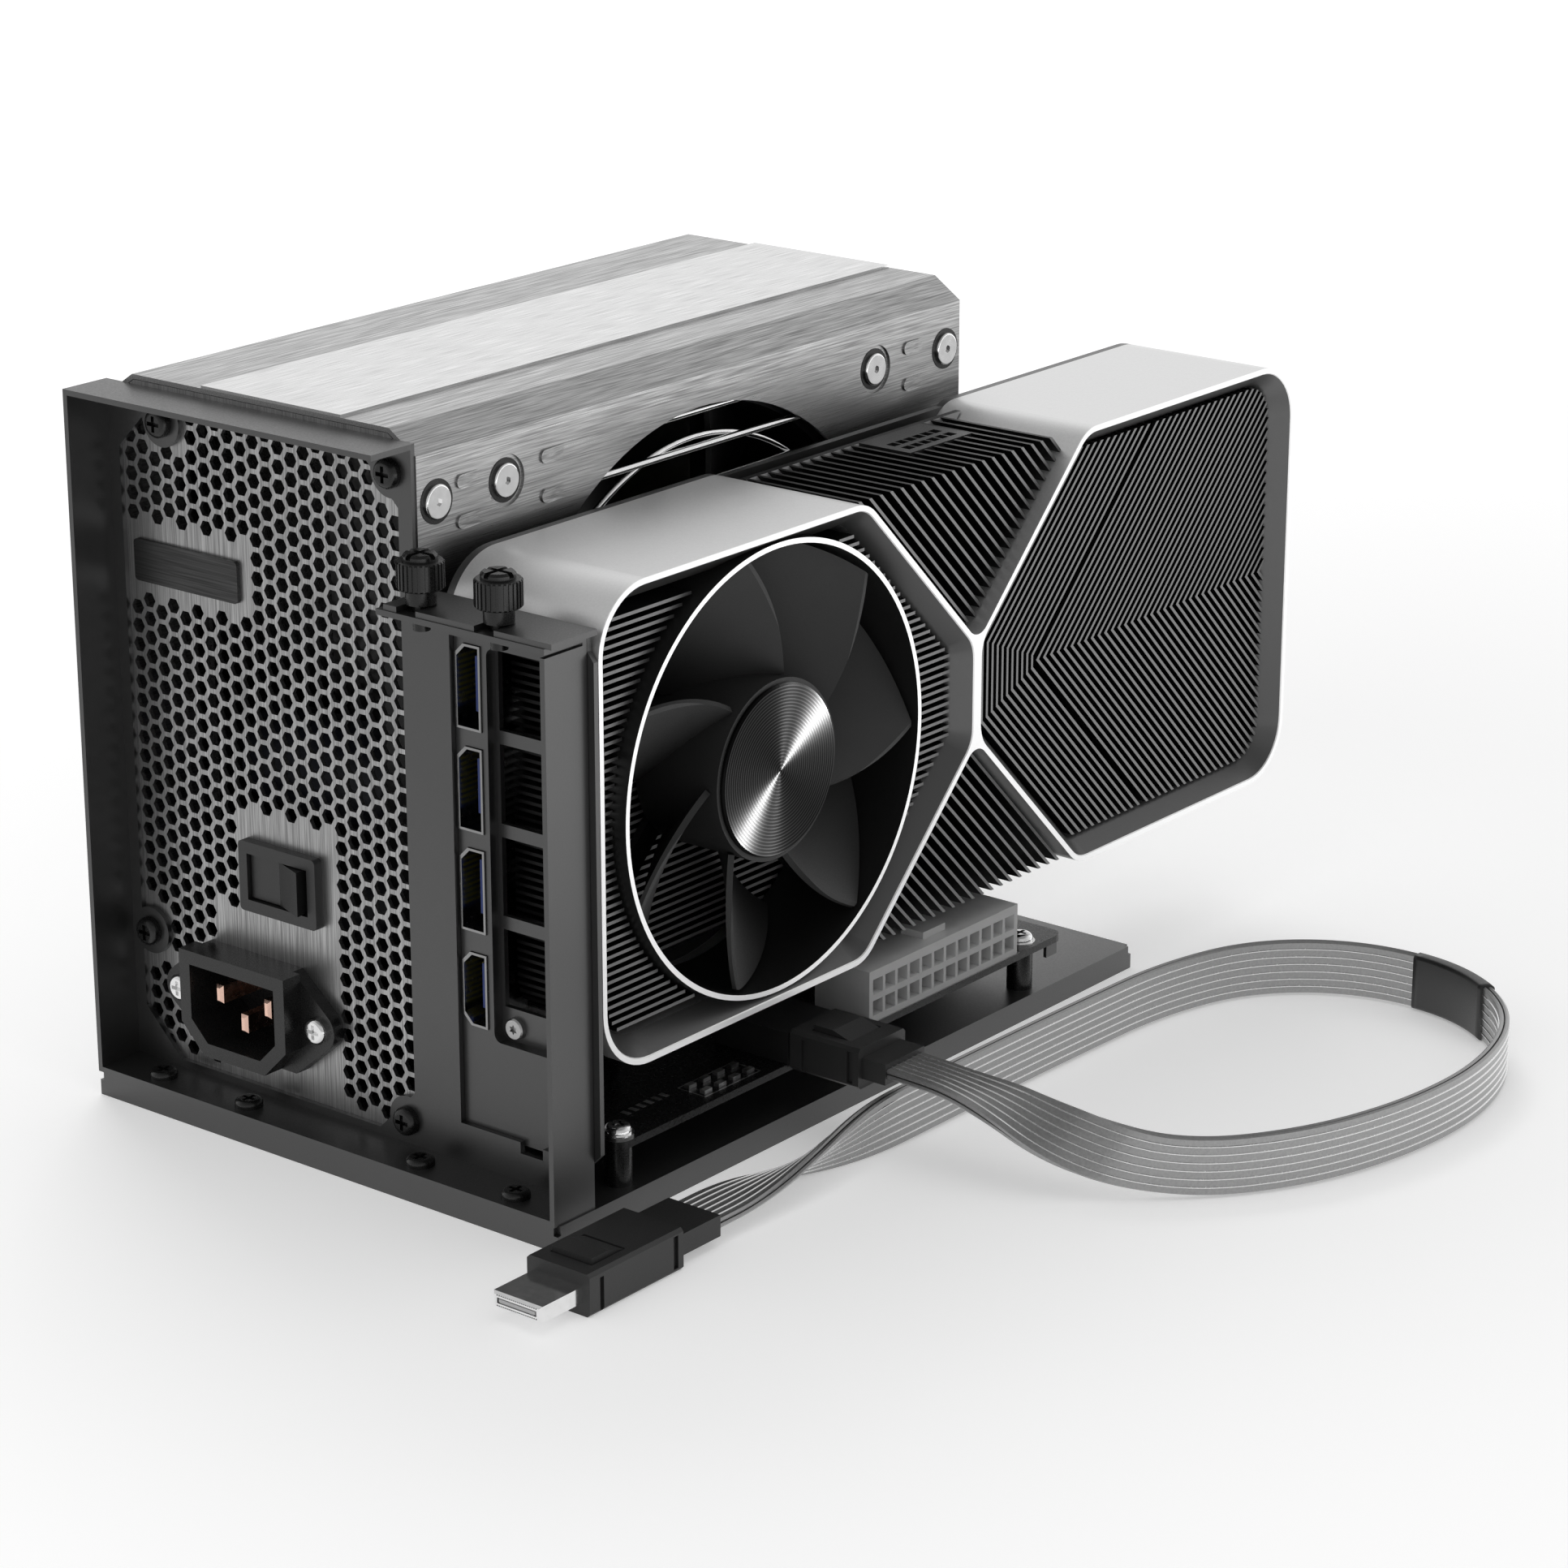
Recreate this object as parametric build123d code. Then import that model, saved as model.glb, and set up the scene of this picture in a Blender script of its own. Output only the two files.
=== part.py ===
from build123d import *
import math
import os

# An open dock for a graphics card. A folded base and rear panel carry a power supply,
# a two-slot card on a riser board, and a flat data cable that lies beside them.
# Lengths are millimetres. While modelling, x runs right from the power supply's left wall,
# y runs back from its rear face, and z runs up from the top of the base plate.

# Clearances
fit = 0.3  # beside a piece that moves
seat = 0.1  # around a piece that is held in a hole

# Power supply case
psu_width = 86.0
psu_depth = 178.0
psu_height = 152.0
psu_wall = 1.0
psu_bevel_x = 7.0  # bevel along the upper long edges
psu_bevel_z = 4.7
psu_foot_bevel = 3.0  # bevel along the lower long edges
top_panel_left = 27.0
top_panel_right = 66.0
top_panel_thick = 0.6

# Power supply rear face
grille_margin = 4.0  # plain border of the perforated sheet
grille_pitch = 4.95  # distance between neighbouring hexagons
grille_web = 1.15  # metal left between them
label_width = 30.0
label_height = 9.0
label_thick = 0.9
label_x = 21.0
label_z = 112.8
label_border = 3.0  # unpunched sheet around the label
inlet_x = 36.6
inlet_z = 20.8
inlet_screw_spacing = 40.0
inlet_mouth_width = 24.6
inlet_mouth_height = 16.8
inlet_rim = 3.0  # wall of the inlet's shroud
inlet_reach = 8.0  # how far the shroud stands out
inlet_flange = 3.0
inlet_depth = 15.0  # depth of the mouth
inlet_floor = 2.0
switch_x = 45.4
switch_z = 50.0
switch_width = 22.0
switch_height = 15.4
switch_lip = 2.2
switch_body_width = 19.0
switch_body_height = 12.6
switch_depth = 13.0
rocker_angle = 10.0  # tilt of the rocker to either side
rocker_half = 8.0
rocker_depth = 7.2  # deepest reach of the rocker behind its pivot
rocker_pin = 1.0  # radius of the rocker's pivot
pivot_reach = 0.4  # pivots reach this far into what carries them
pin_width = 2.0  # inlet blades
pin_height = 4.0
pin_recess = 3.0  # blade tips behind the shroud's edge

# Power supply fan
psu_fan_y = 88.0
psu_fan_frame_gap = 6.0  # fan frame to the case's top and bottom
psu_fan_frame_wall = 5.0  # fan frame at its thinnest
psu_fan_corner = 6.0
psu_fan_depth = 25.0
psu_fan_tip_gap = 1.5
psu_fan_hub = 22.0
psu_fan_plate = 3.0  # motor plate and its arms
psu_fan_arm = 6.0
psu_fan_hole_step = 0.5  # the hole in the case is larger than the fan's bore
guard_wire = 0.8  # radius of the guard's wire
guard_ring_inset = 7.2  # inner ring, from the edge of the hole
guard_overlap = 1.9  # outer ring, hidden behind the edge of the hole
guard_pitch = 7.9  # distance between the straight wires
psu_board_gap = 2.0  # main board to the case's left wall
psu_inner_gap = 8.0  # air between the fan and the tallest parts on the main board

# Power supply side screws, from the rear face or the far end, and from the case's top
side_screw_end = 5.5
side_screw_near = 26.0
side_screw_far = 31.0
side_screw_drop = 14.8
side_screw_head = 3.6
dimple_radius = 5.4
dimple_depth = 0.5
psu_screw_lobe = 5.2  # radius of the panel's screw lobes

# Graphics card
card_gap = 4.5  # air between the power supply and the card
card_cover = 1.8  # thickness of the card's rear cover
frame_depth = 38.7
frame_wall = 5.0
frame_rim = 1.2  # polished edge at the front of the frame's walls
frame_slope = 5.0  # depth of the sloped inner edge behind the rim
card_start = 1.5  # card's near end, behind the rear panel
card_length = 247.0
card_bottom = 27.0
card_height = 100.5
loop_corner = 14.0  # outer corner radius
loop_bend = 9.0  # radius where the walls turn into the diagonals
loop_shoulder = 84.5  # length of each end block before its diagonal
waist_gap = 0.2  # distance between the two end blocks at the waist
waist_lap = 1.5  # how far the bridge at the waist reaches into each block's wall
notch_round = 4.0  # radius at the foot of each notch above and below the waist
board_back_gap = 1.3  # rear cover to circuit board
board_thick = 1.6
circuit_far = 153.0  # far edge of the card's circuit board
processor_thick = 1.2
processor_side = 36.0
processor_offset = 40.0  # centre of the chip package, from the waist

# Card fans
front_fan_y = 57.4
shroud_outer = 48.0
shroud_wall = 1.1
fan_tip_gap = 0.9
fan_hub = 19.2
fan_blades = 7
cap_margin = 1.0  # hub's edge left bare around the cap
cap_thick = 1.0
cap_recess = 0.1  # cap behind the frame's front
blade_recess = 1.5  # blades behind the frame's front
rear_fan_y = 196.0
rear_fan_tip = 40.0

# Card fins
fin_thick = 0.7
fin_base = 1.5
left_fin_pitch = 1.77
centre_fin_pitch = 2.52
right_fin_pitch = 1.85
fin_recess = 3.6  # fin edges behind the rim
power_width = 22.0  # power socket in the card's top
power_reach = 16.5  # its front face, from the circuit board
power_height = 14.0
rear_rotor_depth = 11.0
mount_thick = 1.6  # motor plates of both card fans
shroud_back = 11.5  # front fan's motor plate, from the circuit board

# Card bracket and its ports
bracket_left = 6.3  # from the power supply's side to the bracket's left edge
bracket_bottom = 8.6
bracket_sheet = 1.2
tab_overhang = 4.8  # the tab reaches this far left of the bracket's plate
pocket_depth = 2.6
port_drop = 16.5  # from the shelf to the first port's centre
port_pitch = 21.2
port_offset = 12.5  # from the power supply's side to the ports' middle
port_depth = 12.0
port_long = 16.6
port_short = 5.6
port_wall = 0.5
last_port_long = 14.8
pocket_left = 9.7  # vented pocket, from the plate's left edge
pocket_right = 4.0  # and from the card's front
pocket_low = 28.0
pocket_high = 113.0

# Base tray and rear panel
sheet = 1.2
base_height = 5.5  # from the table to the top of the base plate
base_length = 200.0
base_lead = 11.8  # how far the base reaches in front of the power supply's rear face
base_margin = 0.7  # base plate left of the power supply
card_overhang = 1.2  # card right of the base
panel_inset = 0.4  # panel's right flange inside the base's edge
flange_depth = 11.0
panel_height = 150.0
shelf_top = 119.4
right_flange_top = 117.5
window_left = 3.4
window_right_inset = 4.0  # from the power supply's right side
window_bottom = 2.8
window_top_inset = 3.4  # from the panel's top
window_chamfer = 10.0
slot_gap = 0.5  # slot opening left of the ports' shells
slot_bottom = 9.7
slot_top = 113.2
slot_end = 2.4  # sheet between the slot opening and the right flange
panel_screw_places = (14.5, 40.0, 89.0, 115.0)
panel_screw_lead = 7.5
psu_screw_inset = 6.0  # power supply's mounting screws, from its sides
psu_screw_drop = 8.6  # from its top
psu_screw_rise = 6.4  # from its bottom
psu_screw_third = 30.6  # height of the lower left screw
psu_screw_first = 16.0  # upper left screw, from the left side
thumb_lead = 7.5
thumb_first = 7.5  # from the power supply's side to the first thumbscrew
thumb_spacing = 20.32
thumb_shank = 1.75

# Riser board
board_left = 1.5  # from the power supply's side
board_right_inset = 1.1  # from the base's right edge
board_near = 8.7
board_far = 162.6
standoff_height = 9.0
standoff_radius = 2.9
hole_inset = 4.0  # screw holes from the board's right edge
hole_inset_left = 4.0
near_hole = 4.0  # from the near edge
far_hole = 11.4  # from the far edge
board_screw = 1.5
slot_near = 44.0
slot_length = 90.0
slot_width = 7.5
slot_height = 11.25
swing_half = 2.8  # half width of the latch at the slot's far end
swing_pivot_back = 2.3  # its pivot, from the latch's near face
swing_pivot_rise = 2.6  # and from the board
swing_pin = 0.9
cheek_length = 5.5  # slot walls beside the latch
cheek_height = 6.0
header_near = 91.0
header_far = 145.0
header_depth = 14.8
header_height = 11.8
header_cells = 12
socket_y = 70.5
socket_width = 16.0
socket_depth = 20.2
socket_height = 7.0

# Data cable
plug_width = 16.0
plug_height = 9.0
near_plug_length = 18.0
far_plug_length = 28.0
tongue_length = 12.0
tongue_width = 12.4
tongue_height = 3.4
near_relief = 6.0  # flat strain reliefs behind the plugs
far_relief = 13.0
relief_width = 13.4
relief_height = 4.6
latch_travel = 0.8
latch_start = 4.0
latch_length = 9.5
latch_half = 5.0
latch_height = 1.2
latch_pocket = 2.6
far_plug_gap = 16.2  # far plug's axis, right of the base
far_plug_y = 11.0  # where the cable enters the far plug's strain relief
cable_radius = 3.0
sleeve_wall = 1.2

# Places worked out from the sizes above
card_back = psu_width + card_gap
frame_back = card_back + card_cover
card_front = frame_back + frame_depth
card_top = card_bottom + card_height
card_middle = card_bottom + card_height / 2
card_end = card_start + card_length
waist_y = card_start + card_length / 2
circuit_x = frame_back + board_back_gap
circuit_front = circuit_x + board_thick
circuit_near = card_start + frame_wall + 0.5
circuit_top = card_top - 3.6
waist_half = card_height / 2 - (card_length / 2 - loop_shoulder - waist_gap / 2)
fin_back = circuit_front + processor_thick
power_y0 = waist_y + 0.8
power_y1 = power_y0 + power_width
power_z1 = card_top - 0.8
power_z0 = power_z1 - power_height
power_x1 = circuit_front + power_reach
front_rotor_back = circuit_front + shroud_back + mount_thick + fit
front_rotor_depth = card_front - blade_recess - front_rotor_back
front_hub_depth = card_front - cap_recess - cap_thick - front_rotor_back
rear_rotor_back = card_back + 0.6
port_x = psu_width + port_offset
base_left = -base_margin
base_right = card_front - card_overhang
base_front = -base_lead
base_back = base_front + base_length
panel_right = base_right - panel_inset
panel_front = -sheet - flange_depth
psu_edge = psu_width - 0.3
riser_bottom = standoff_height
riser_top = riser_bottom + board_thick
slot_x = (circuit_x + circuit_front) / 2
slot_top_z = riser_top + slot_height
circuit_bottom = slot_top_z + 1.2
finger_near = slot_near + 2.6
finger_far = slot_near + slot_length - 2.6
finger_bottom = riser_top + 3.0
psu_fan_z = psu_height / 2
psu_fan_frame_side = psu_height - 2 * (psu_wall + psu_fan_frame_gap)
psu_fan_bore = psu_fan_frame_side / 2 - psu_fan_frame_wall
psu_fan_tip = psu_fan_bore - psu_fan_tip_gap
psu_fan_hole = psu_fan_bore + psu_fan_hole_step
psu_fan_front = psu_width - psu_wall - 4 * guard_wire - 0.2
guard_ring = psu_fan_hole - guard_ring_inset
guard_outer_ring = psu_fan_hole + guard_overlap
guard_bars = int((guard_outer_ring - guard_wire) / guard_pitch)
psu_board_x = psu_wall + psu_board_gap
psu_parts_start = psu_board_x + board_thick
psu_parts_reach = psu_fan_front - psu_fan_depth - psu_inner_gap - psu_parts_start
side_screw_places = (side_screw_end, side_screw_near, psu_depth - side_screw_far, psu_depth - side_screw_end)
psu_screw_right = psu_width - psu_screw_inset
psu_screw_places = (
    (psu_screw_first, psu_height - psu_screw_drop), (psu_screw_right, psu_height - psu_screw_drop),
    (psu_screw_inset, psu_screw_third), (psu_screw_right, psu_screw_rise),
)
window_right = psu_width - window_right_inset
window_top = panel_height - window_top_inset
slot_left = port_offset - port_short / 2 - port_wall - slot_gap
pocket_floor = plug_height / 2 - latch_pocket
far_plug_x = base_right + far_plug_gap
riser_left = psu_width + board_left
riser_right = base_right - board_right_inset
fin_front = card_front - fin_recess
plug_axis_z = riser_top + socket_height / 2
plug_face_x = riser_right + 0.6
floor_z = -base_height
far_axis_z = floor_z + plug_height / 2


def block(x0, x1, y0, y1, z0, z1):
    """Box between two corners."""
    return Pos((x0 + x1) / 2, (y0 + y1) / 2, (z0 + z1) / 2) * Box(x1 - x0, y1 - y0, z1 - z0)


def rod(start, direction, radius, length):
    """Round bar from a point along a direction."""
    return extrude(Plane(start, z_dir=direction) * Circle(radius), length)


def slab_x(sketch, x0, x1):
    """Sketch in y and z, as a plate between two x."""
    return extrude(Plane((x0, 0, 0), x_dir=(0, 1, 0), z_dir=(1, 0, 0)) * sketch, x1 - x0)


def slab_y(sketch, y0, y1):
    """Sketch in x and z, as a plate between two y."""
    return extrude(Plane((0, y1, 0), x_dir=(1, 0, 0), z_dir=(0, -1, 0)) * sketch, y1 - y0)


def slab_z(sketch, z0, z1):
    """Sketch in x and y, as a plate between two z."""
    return extrude(Pos(0, 0, z0) * sketch, z1 - z0)


def outline(*points):
    """Flat face with straight sides."""
    return make_face(Polyline(*points, close=True))


def rectangle(a0, a1, b0, b1):
    """Flat rectangle between two corners."""
    return Pos((a0 + a1) / 2, (b0 + b1) / 2) * Rectangle(a1 - a0, b1 - b0)


def group(solids):
    """Separate solids kept together as one node."""
    return Compound(children=[piece.solid() for piece in solids])


def toward(point, direction):
    """Placement whose z axis points along a direction."""
    return Plane(point, z_dir=direction).location


def pan_screw(head_radius, head_height, shank_radius, shank_length):
    """Screw with a low domed head and a cross recess, its head up and its seat at zero."""
    head = Cylinder(head_radius, head_height, align=(Align.CENTER, Align.CENTER, Align.MIN))
    head = fillet(head.edges().group_by(Axis.Z)[-1], head_height * 0.6)
    shank = Cylinder(shank_radius, shank_length, align=(Align.CENTER, Align.CENTER, Align.MAX))
    arm = head_radius * 1.1
    width = head_radius * 0.28
    depth = head_height * 0.5
    recess = Pos(0, 0, head_height) * (Box(arm, width, 2 * depth) + Box(width, arm, 2 * depth))
    return head + shank - recess


# Base tray and rear panel

def standoff_places():
    """Centres of the riser board's four screws."""
    columns = (riser_left + hole_inset_left, riser_right - hole_inset)
    rows = (board_near + near_hole, board_far - far_hole)
    return [(x, y) for x in columns for y in rows]


def make_base_plate():
    """Tray folded from one sheet, with relief notches at its corners."""
    tray = block(base_left, base_right, base_front, base_back, -base_height, 0)
    inside = (base_left + sheet, base_right - sheet, base_front + sheet, base_back - sheet)
    tray -= block(*inside, -base_height, -sheet)
    notch = 1.7 * sheet
    for x in (base_left, base_right):
        for y in (base_front, base_back):
            tray -= Pos(x, y, -notch / 2) * Box(notch, notch, notch)
    for x in panel_screw_places:
        tray -= rod((x, -panel_screw_lead, -sheet), (0, 0, 1), board_screw + seat, sheet)
    for x, y in standoff_places():
        tray -= rod((x, y, -sheet), (0, 0, 1), board_screw + seat, sheet)
    return tray


def make_rear_panel():
    """Folded rear panel: a face with outward flanges, a window for the supply and a card slot."""
    face = outline(
        (base_left, 0), (panel_right, 0), (panel_right, shelf_top),
        (psu_edge, shelf_top), (psu_edge, panel_height), (base_left, panel_height),
    )
    window = outline(
        (window_left + window_chamfer, window_bottom), (window_right - window_chamfer, window_bottom),
        (window_right, window_bottom + window_chamfer), (window_right, window_top - window_chamfer),
        (window_right - window_chamfer, window_top), (window_left + window_chamfer, window_top),
        (window_left, window_top - window_chamfer), (window_left, window_bottom + window_chamfer),
    )
    face -= window
    for x, z in psu_screw_places:
        lobe = Pos(x, z) * Circle(psu_screw_lobe)
        face += lobe & rectangle(base_left, psu_edge, 0, panel_height)
    for x, z in psu_screw_places:
        face -= Pos(x, z) * Circle(board_screw + seat)
    slot_right = panel_right - sheet - slot_end
    face -= rectangle(psu_width + slot_left, slot_right, slot_bottom, slot_top)
    face -= rectangle(slot_right - 15.0, slot_right - 9.0, slot_bottom - 2.4, slot_bottom)
    panel = slab_y(face, -sheet, 0)
    panel += block(base_left, base_left + sheet, panel_front, -sheet, 0, panel_height)
    panel += block(base_left, psu_edge, panel_front, -sheet, panel_height - sheet, panel_height)
    panel += block(base_left, panel_right, panel_front, -sheet, 0, sheet)
    panel += block(panel_right - sheet, panel_right, panel_front, -sheet, 0, right_flange_top)
    panel += block(psu_edge, panel_right, panel_front, 0, shelf_top - sheet, shelf_top)
    for x in panel_screw_places:
        panel -= rod((x, -panel_screw_lead, 0), (0, 0, 1), board_screw + seat, sheet)
    for x in thumb_places():
        panel -= rod((x, -thumb_lead, shelf_top - sheet), (0, 0, 1), thumb_shank + fit, sheet)
    return panel


def thumb_places():
    """x of the two thumbscrews."""
    first = psu_width + thumb_first
    return (first, first + thumb_spacing)


def make_panel_screws():
    """Low screws that hold the panel's bottom flange to the base."""
    screw = pan_screw(3.0, 1.7, board_screw, sheet + 2.0)
    return group([Pos(x, -panel_screw_lead, sheet) * screw for x in panel_screw_places])


def make_psu_mount_screws():
    """Screws that hold the power supply to the rear panel."""
    screw = pan_screw(3.1, 2.2, board_screw, sheet + 5.0)
    return group([toward((x, -sheet, z), (0, -1, 0)) * screw for x, z in psu_screw_places])


def make_thumb_screw(x):
    """Knurled thumbscrew on the card's bracket tab, with a cross slot in its raised top."""
    seat_z = shelf_top + bracket_sheet + fit
    shoulder_height = 3.0
    head_radius = 4.8
    head_height = 5.8
    crown_height = 1.4
    ribs = 28
    shoulder = rod((0, 0, 0), (0, 0, 1), 3.1, shoulder_height)
    head = rod((0, 0, shoulder_height), (0, 0, 1), head_radius, head_height)
    head = chamfer(head.edges().filter_by(GeomType.CIRCLE), 0.4)
    groove = Pos(head_radius, 0, shoulder_height + head_height / 2) * Box(0.5, 0.5, head_height)
    head -= [Rot(0, 0, 360 / ribs * turn) * groove for turn in range(ribs)]
    crown = rod((0, 0, shoulder_height + head_height), (0, 0, 1), 3.5, crown_height)
    crown = chamfer(crown.edges().group_by(Axis.Z)[-1], 0.5)
    slot = Box(2.4 * head_radius, 1.2, crown_height) + Box(1.2, 2.4 * head_radius, crown_height)
    crown -= Pos(0, 0, shoulder_height + head_height + 0.8 * crown_height) * slot
    shank = rod((0, 0, 0), (0, 0, -1), thumb_shank, bracket_sheet + sheet + 3.0)
    return Pos(x, -thumb_lead, seat_z) * (shoulder + head + crown + shank)


# Power supply

def psu_section(inset):
    """Section of the case, inset from its outer faces."""
    across = psu_bevel_x
    down = psu_bevel_z
    foot = psu_foot_bevel
    section = outline(
        (foot, 0), (psu_width - foot, 0), (psu_width, foot), (psu_width, psu_height - down),
        (psu_width - across, psu_height), (across, psu_height), (0, psu_height - down), (0, foot),
    )
    return offset(section, amount=-inset, kind=Kind.INTERSECTION) if inset else section


def make_psu_cover():
    """Folded cover: top, bottom and the fan side, open towards the tray."""
    cover = slab_y(psu_section(0) - psu_section(psu_wall), 0, psu_depth)
    cover -= block(0, psu_wall, 0, psu_depth, psu_foot_bevel, psu_height - psu_bevel_z)
    cover -= rod((psu_width, psu_fan_y, psu_fan_z), (-1, 0, 0), psu_fan_hole, 2 * psu_wall)
    screw_z = psu_height - side_screw_drop
    for y in side_screw_places[1:3]:
        cover -= rod((psu_width, y, screw_z), (-1, 0, 0), dimple_radius, dimple_depth)
    for y in side_screw_places:
        cover -= rod((psu_width, y, screw_z), (-1, 0, 0), board_screw + seat, 2 * psu_wall)
    return cover


def make_psu_tray():
    """Folded tray: the left wall and the far end wall."""
    left = block(0, psu_wall, 0, psu_depth, psu_foot_bevel, psu_height - psu_bevel_z)
    end = slab_y(psu_section(psu_wall + seat), psu_depth - psu_wall, psu_depth)
    bridge = block(0, 4 * psu_wall, psu_depth - psu_wall, psu_depth, 10.0, psu_height - 12.0)
    return left + end + bridge


def make_psu_top_panel():
    """Brushed strip laid along the top of the case."""
    return block(top_panel_left, top_panel_right, 0, psu_depth, psu_height, psu_height + top_panel_thick)


def hexagon(x, z, across_flats):
    """Closed wire of a hexagon with flat top and bottom."""
    radius = across_flats / math.sqrt(3)
    corners = [math.radians(60 * turn) for turn in range(6)]
    return Polyline(*[(x + radius * math.cos(a), z + radius * math.sin(a)) for a in corners], close=True)


def is_punched(x, z):
    """True where the rear sheet has a hexagon, clear of its edges and fittings."""
    keep = grille_pitch / 2
    corner = window_chamfer + grille_margin
    left = x - grille_margin - keep
    right = psu_width - grille_margin - keep - x
    low = z - grille_margin - keep
    high = psu_height - psu_bevel_z - grille_margin - keep - z
    if min(left, right, low, high) < 0 or min(left, right) + min(low, high) < corner - grille_margin:
        return False
    beside_label = abs(x - label_x) > label_width / 2 + label_border
    if not (beside_label or abs(z - label_z) > label_height / 2 + label_border + 1.0):
        return False
    inlet_half = inlet_screw_spacing / 2 + 5.0
    low_zone = inlet_z + inlet_mouth_height / 2 + inlet_rim + keep
    if abs(x - inlet_x) < inlet_half + keep and z < low_zone:
        return False
    switch_zone = switch_width / 2 + 2.0 + keep
    if abs(x - switch_x) < switch_zone and z < switch_z + switch_height / 2 + 2.0 + keep:
        return False
    near_screw = [math.hypot(x - sx, z - sz) < psu_screw_lobe + keep for sx, sz in psu_screw_places]
    return not any(near_screw)


def make_psu_rear_grille():
    """Rear sheet with hexagonal air holes and cut-outs for the inlet and the switch."""
    sheet_face = psu_section(psu_wall + seat)
    outer = sheet_face.face().outer_wire()
    holes = []
    column_step = grille_pitch * math.sqrt(3) / 2
    columns = int(psu_width / column_step) + 1
    rows = int(psu_height / grille_pitch) + 1
    for column in range(columns):
        for row in range(rows):
            x = column * column_step
            z = (row + 0.5 * (column % 2)) * grille_pitch
            if is_punched(x, z):
                holes.append(hexagon(x, z, grille_pitch - grille_web))
    print("grille holes", len(holes))
    grille = slab_y(Face(outer, [Wire(hole.edges()) for hole in holes]), 0, psu_wall)
    half_width = inlet_mouth_width / 2 + inlet_rim - 1.0 + seat
    half_height = inlet_mouth_height / 2 + inlet_rim - 1.0 + seat
    cuts = rectangle(inlet_x - half_width, inlet_x + half_width, inlet_z - half_height, inlet_z + half_height)
    half_width = switch_body_width / 2 + seat
    half_height = switch_body_height / 2 + seat
    cuts += rectangle(
        switch_x - half_width, switch_x + half_width, switch_z - half_height, switch_z + half_height
    )
    for side in (-1, 1):
        cuts += Pos(inlet_x + side * inlet_screw_spacing / 2, inlet_z) * Circle(board_screw + seat)
    for x, z in psu_screw_places:
        cuts += Pos(x, z) * Circle(board_screw + seat)
    return grille - slab_y(cuts, 0, psu_wall)


def make_psu_label_plate():
    """Blank name plate on the rear sheet."""
    plate = Pos(label_x, label_z) * fillet(Rectangle(label_width, label_height).vertices(), 1.0)
    return slab_y(plate, -label_thick, 0)


def inlet_mouth(grow):
    """Outline of the mains inlet's mouth, with its two lower corners bevelled."""
    half_width = inlet_mouth_width / 2 + grow
    half_height = inlet_mouth_height / 2 + grow
    bevel = 4.6 + 0.6 * grow
    return Pos(inlet_x, inlet_z) * outline(
        (-half_width + bevel, -half_height), (half_width - bevel, -half_height),
        (half_width, -half_height + bevel), (half_width, half_height),
        (-half_width, half_height), (-half_width, -half_height + bevel),
    )


def pin_places():
    """Centres of the inlet's three blades: two live blades above, the earth blade below."""
    return ((inlet_x - 7.0, inlet_z + 2.0), (inlet_x + 7.0, inlet_z + 2.0), (inlet_x, inlet_z - 3.0))


def make_psu_inlet_body():
    """Mains inlet: a diamond flange, a shroud that stands out and a blind mouth."""
    ear = inlet_screw_spacing / 2
    diamond = make_hull(
        (
            Pos(inlet_x, inlet_z) * Rectangle(inlet_mouth_width + 2, inlet_mouth_height + 2 * inlet_rim)
            + [Pos(inlet_x + side * ear, inlet_z) * Circle(4.6) for side in (-1, 1)]
        ).edges()
    )
    body = slab_y(diamond, -inlet_flange, 0)
    body += slab_y(inlet_mouth(inlet_rim), -inlet_reach, -inlet_flange)
    back = inlet_depth - inlet_reach + inlet_floor
    body += slab_y(inlet_mouth(inlet_rim - 1.0), 0, back)
    body -= slab_y(inlet_mouth(0), -inlet_reach, inlet_depth - inlet_reach)
    for x, z in pin_places():
        half_width = pin_width / 2 + seat
        half_height = pin_height / 2 + seat
        body -= block(x - half_width, x + half_width, 0, back, z - half_height, z + half_height)
    for side in (-1, 1):
        body -= rod((inlet_x + side * ear, 0, inlet_z), (0, -1, 0), board_screw + seat, inlet_flange)
    return body


def make_psu_inlet_pins():
    """Three flat blades that stand in the inlet's mouth."""
    back = inlet_depth - inlet_reach + inlet_floor + 4.0
    front = pin_recess - inlet_reach
    blades = []
    for x, z in pin_places():
        blade = block(
            x - pin_width / 2, x + pin_width / 2, front, back, z - pin_height / 2, z + pin_height / 2
        )
        blades.append(chamfer(blade.edges().group_by(Axis.Y)[0], 0.6))
    return group(blades)


def make_psu_inlet_screws():
    """Two bright screws through the inlet's flange."""
    screw = pan_screw(2.9, 1.6, board_screw, inlet_flange + 3.0)
    ends = [inlet_x + side * inlet_screw_spacing / 2 for side in (-1, 1)]
    return group([toward((x, -inlet_flange, inlet_z), (0, -1, 0)) * screw for x in ends])


def make_psu_switch_frame():
    """Bezel and body of the power switch, with a well for the rocker."""
    lip = Pos(switch_x, switch_z) * fillet(Rectangle(switch_width, switch_height).vertices(), 1.0)
    frame = slab_y(lip, -switch_lip, 0)
    body = Pos(switch_x, switch_z) * Rectangle(switch_body_width, switch_body_height)
    frame += slab_y(body, 0, switch_depth)
    well_half = rocker_half + 2 * fit
    well_height = switch_body_height / 2 - 1.2
    frame -= block(
        switch_x - well_half, switch_x + well_half, -switch_lip, rocker_depth + fit + 1.0,
        switch_z - well_height, switch_z + well_height,
    )
    bearing = well_height + pivot_reach + fit
    return frame - rod((switch_x, 0, switch_z - bearing), (0, 0, 1), rocker_pin + fit, 2 * bearing)


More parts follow.
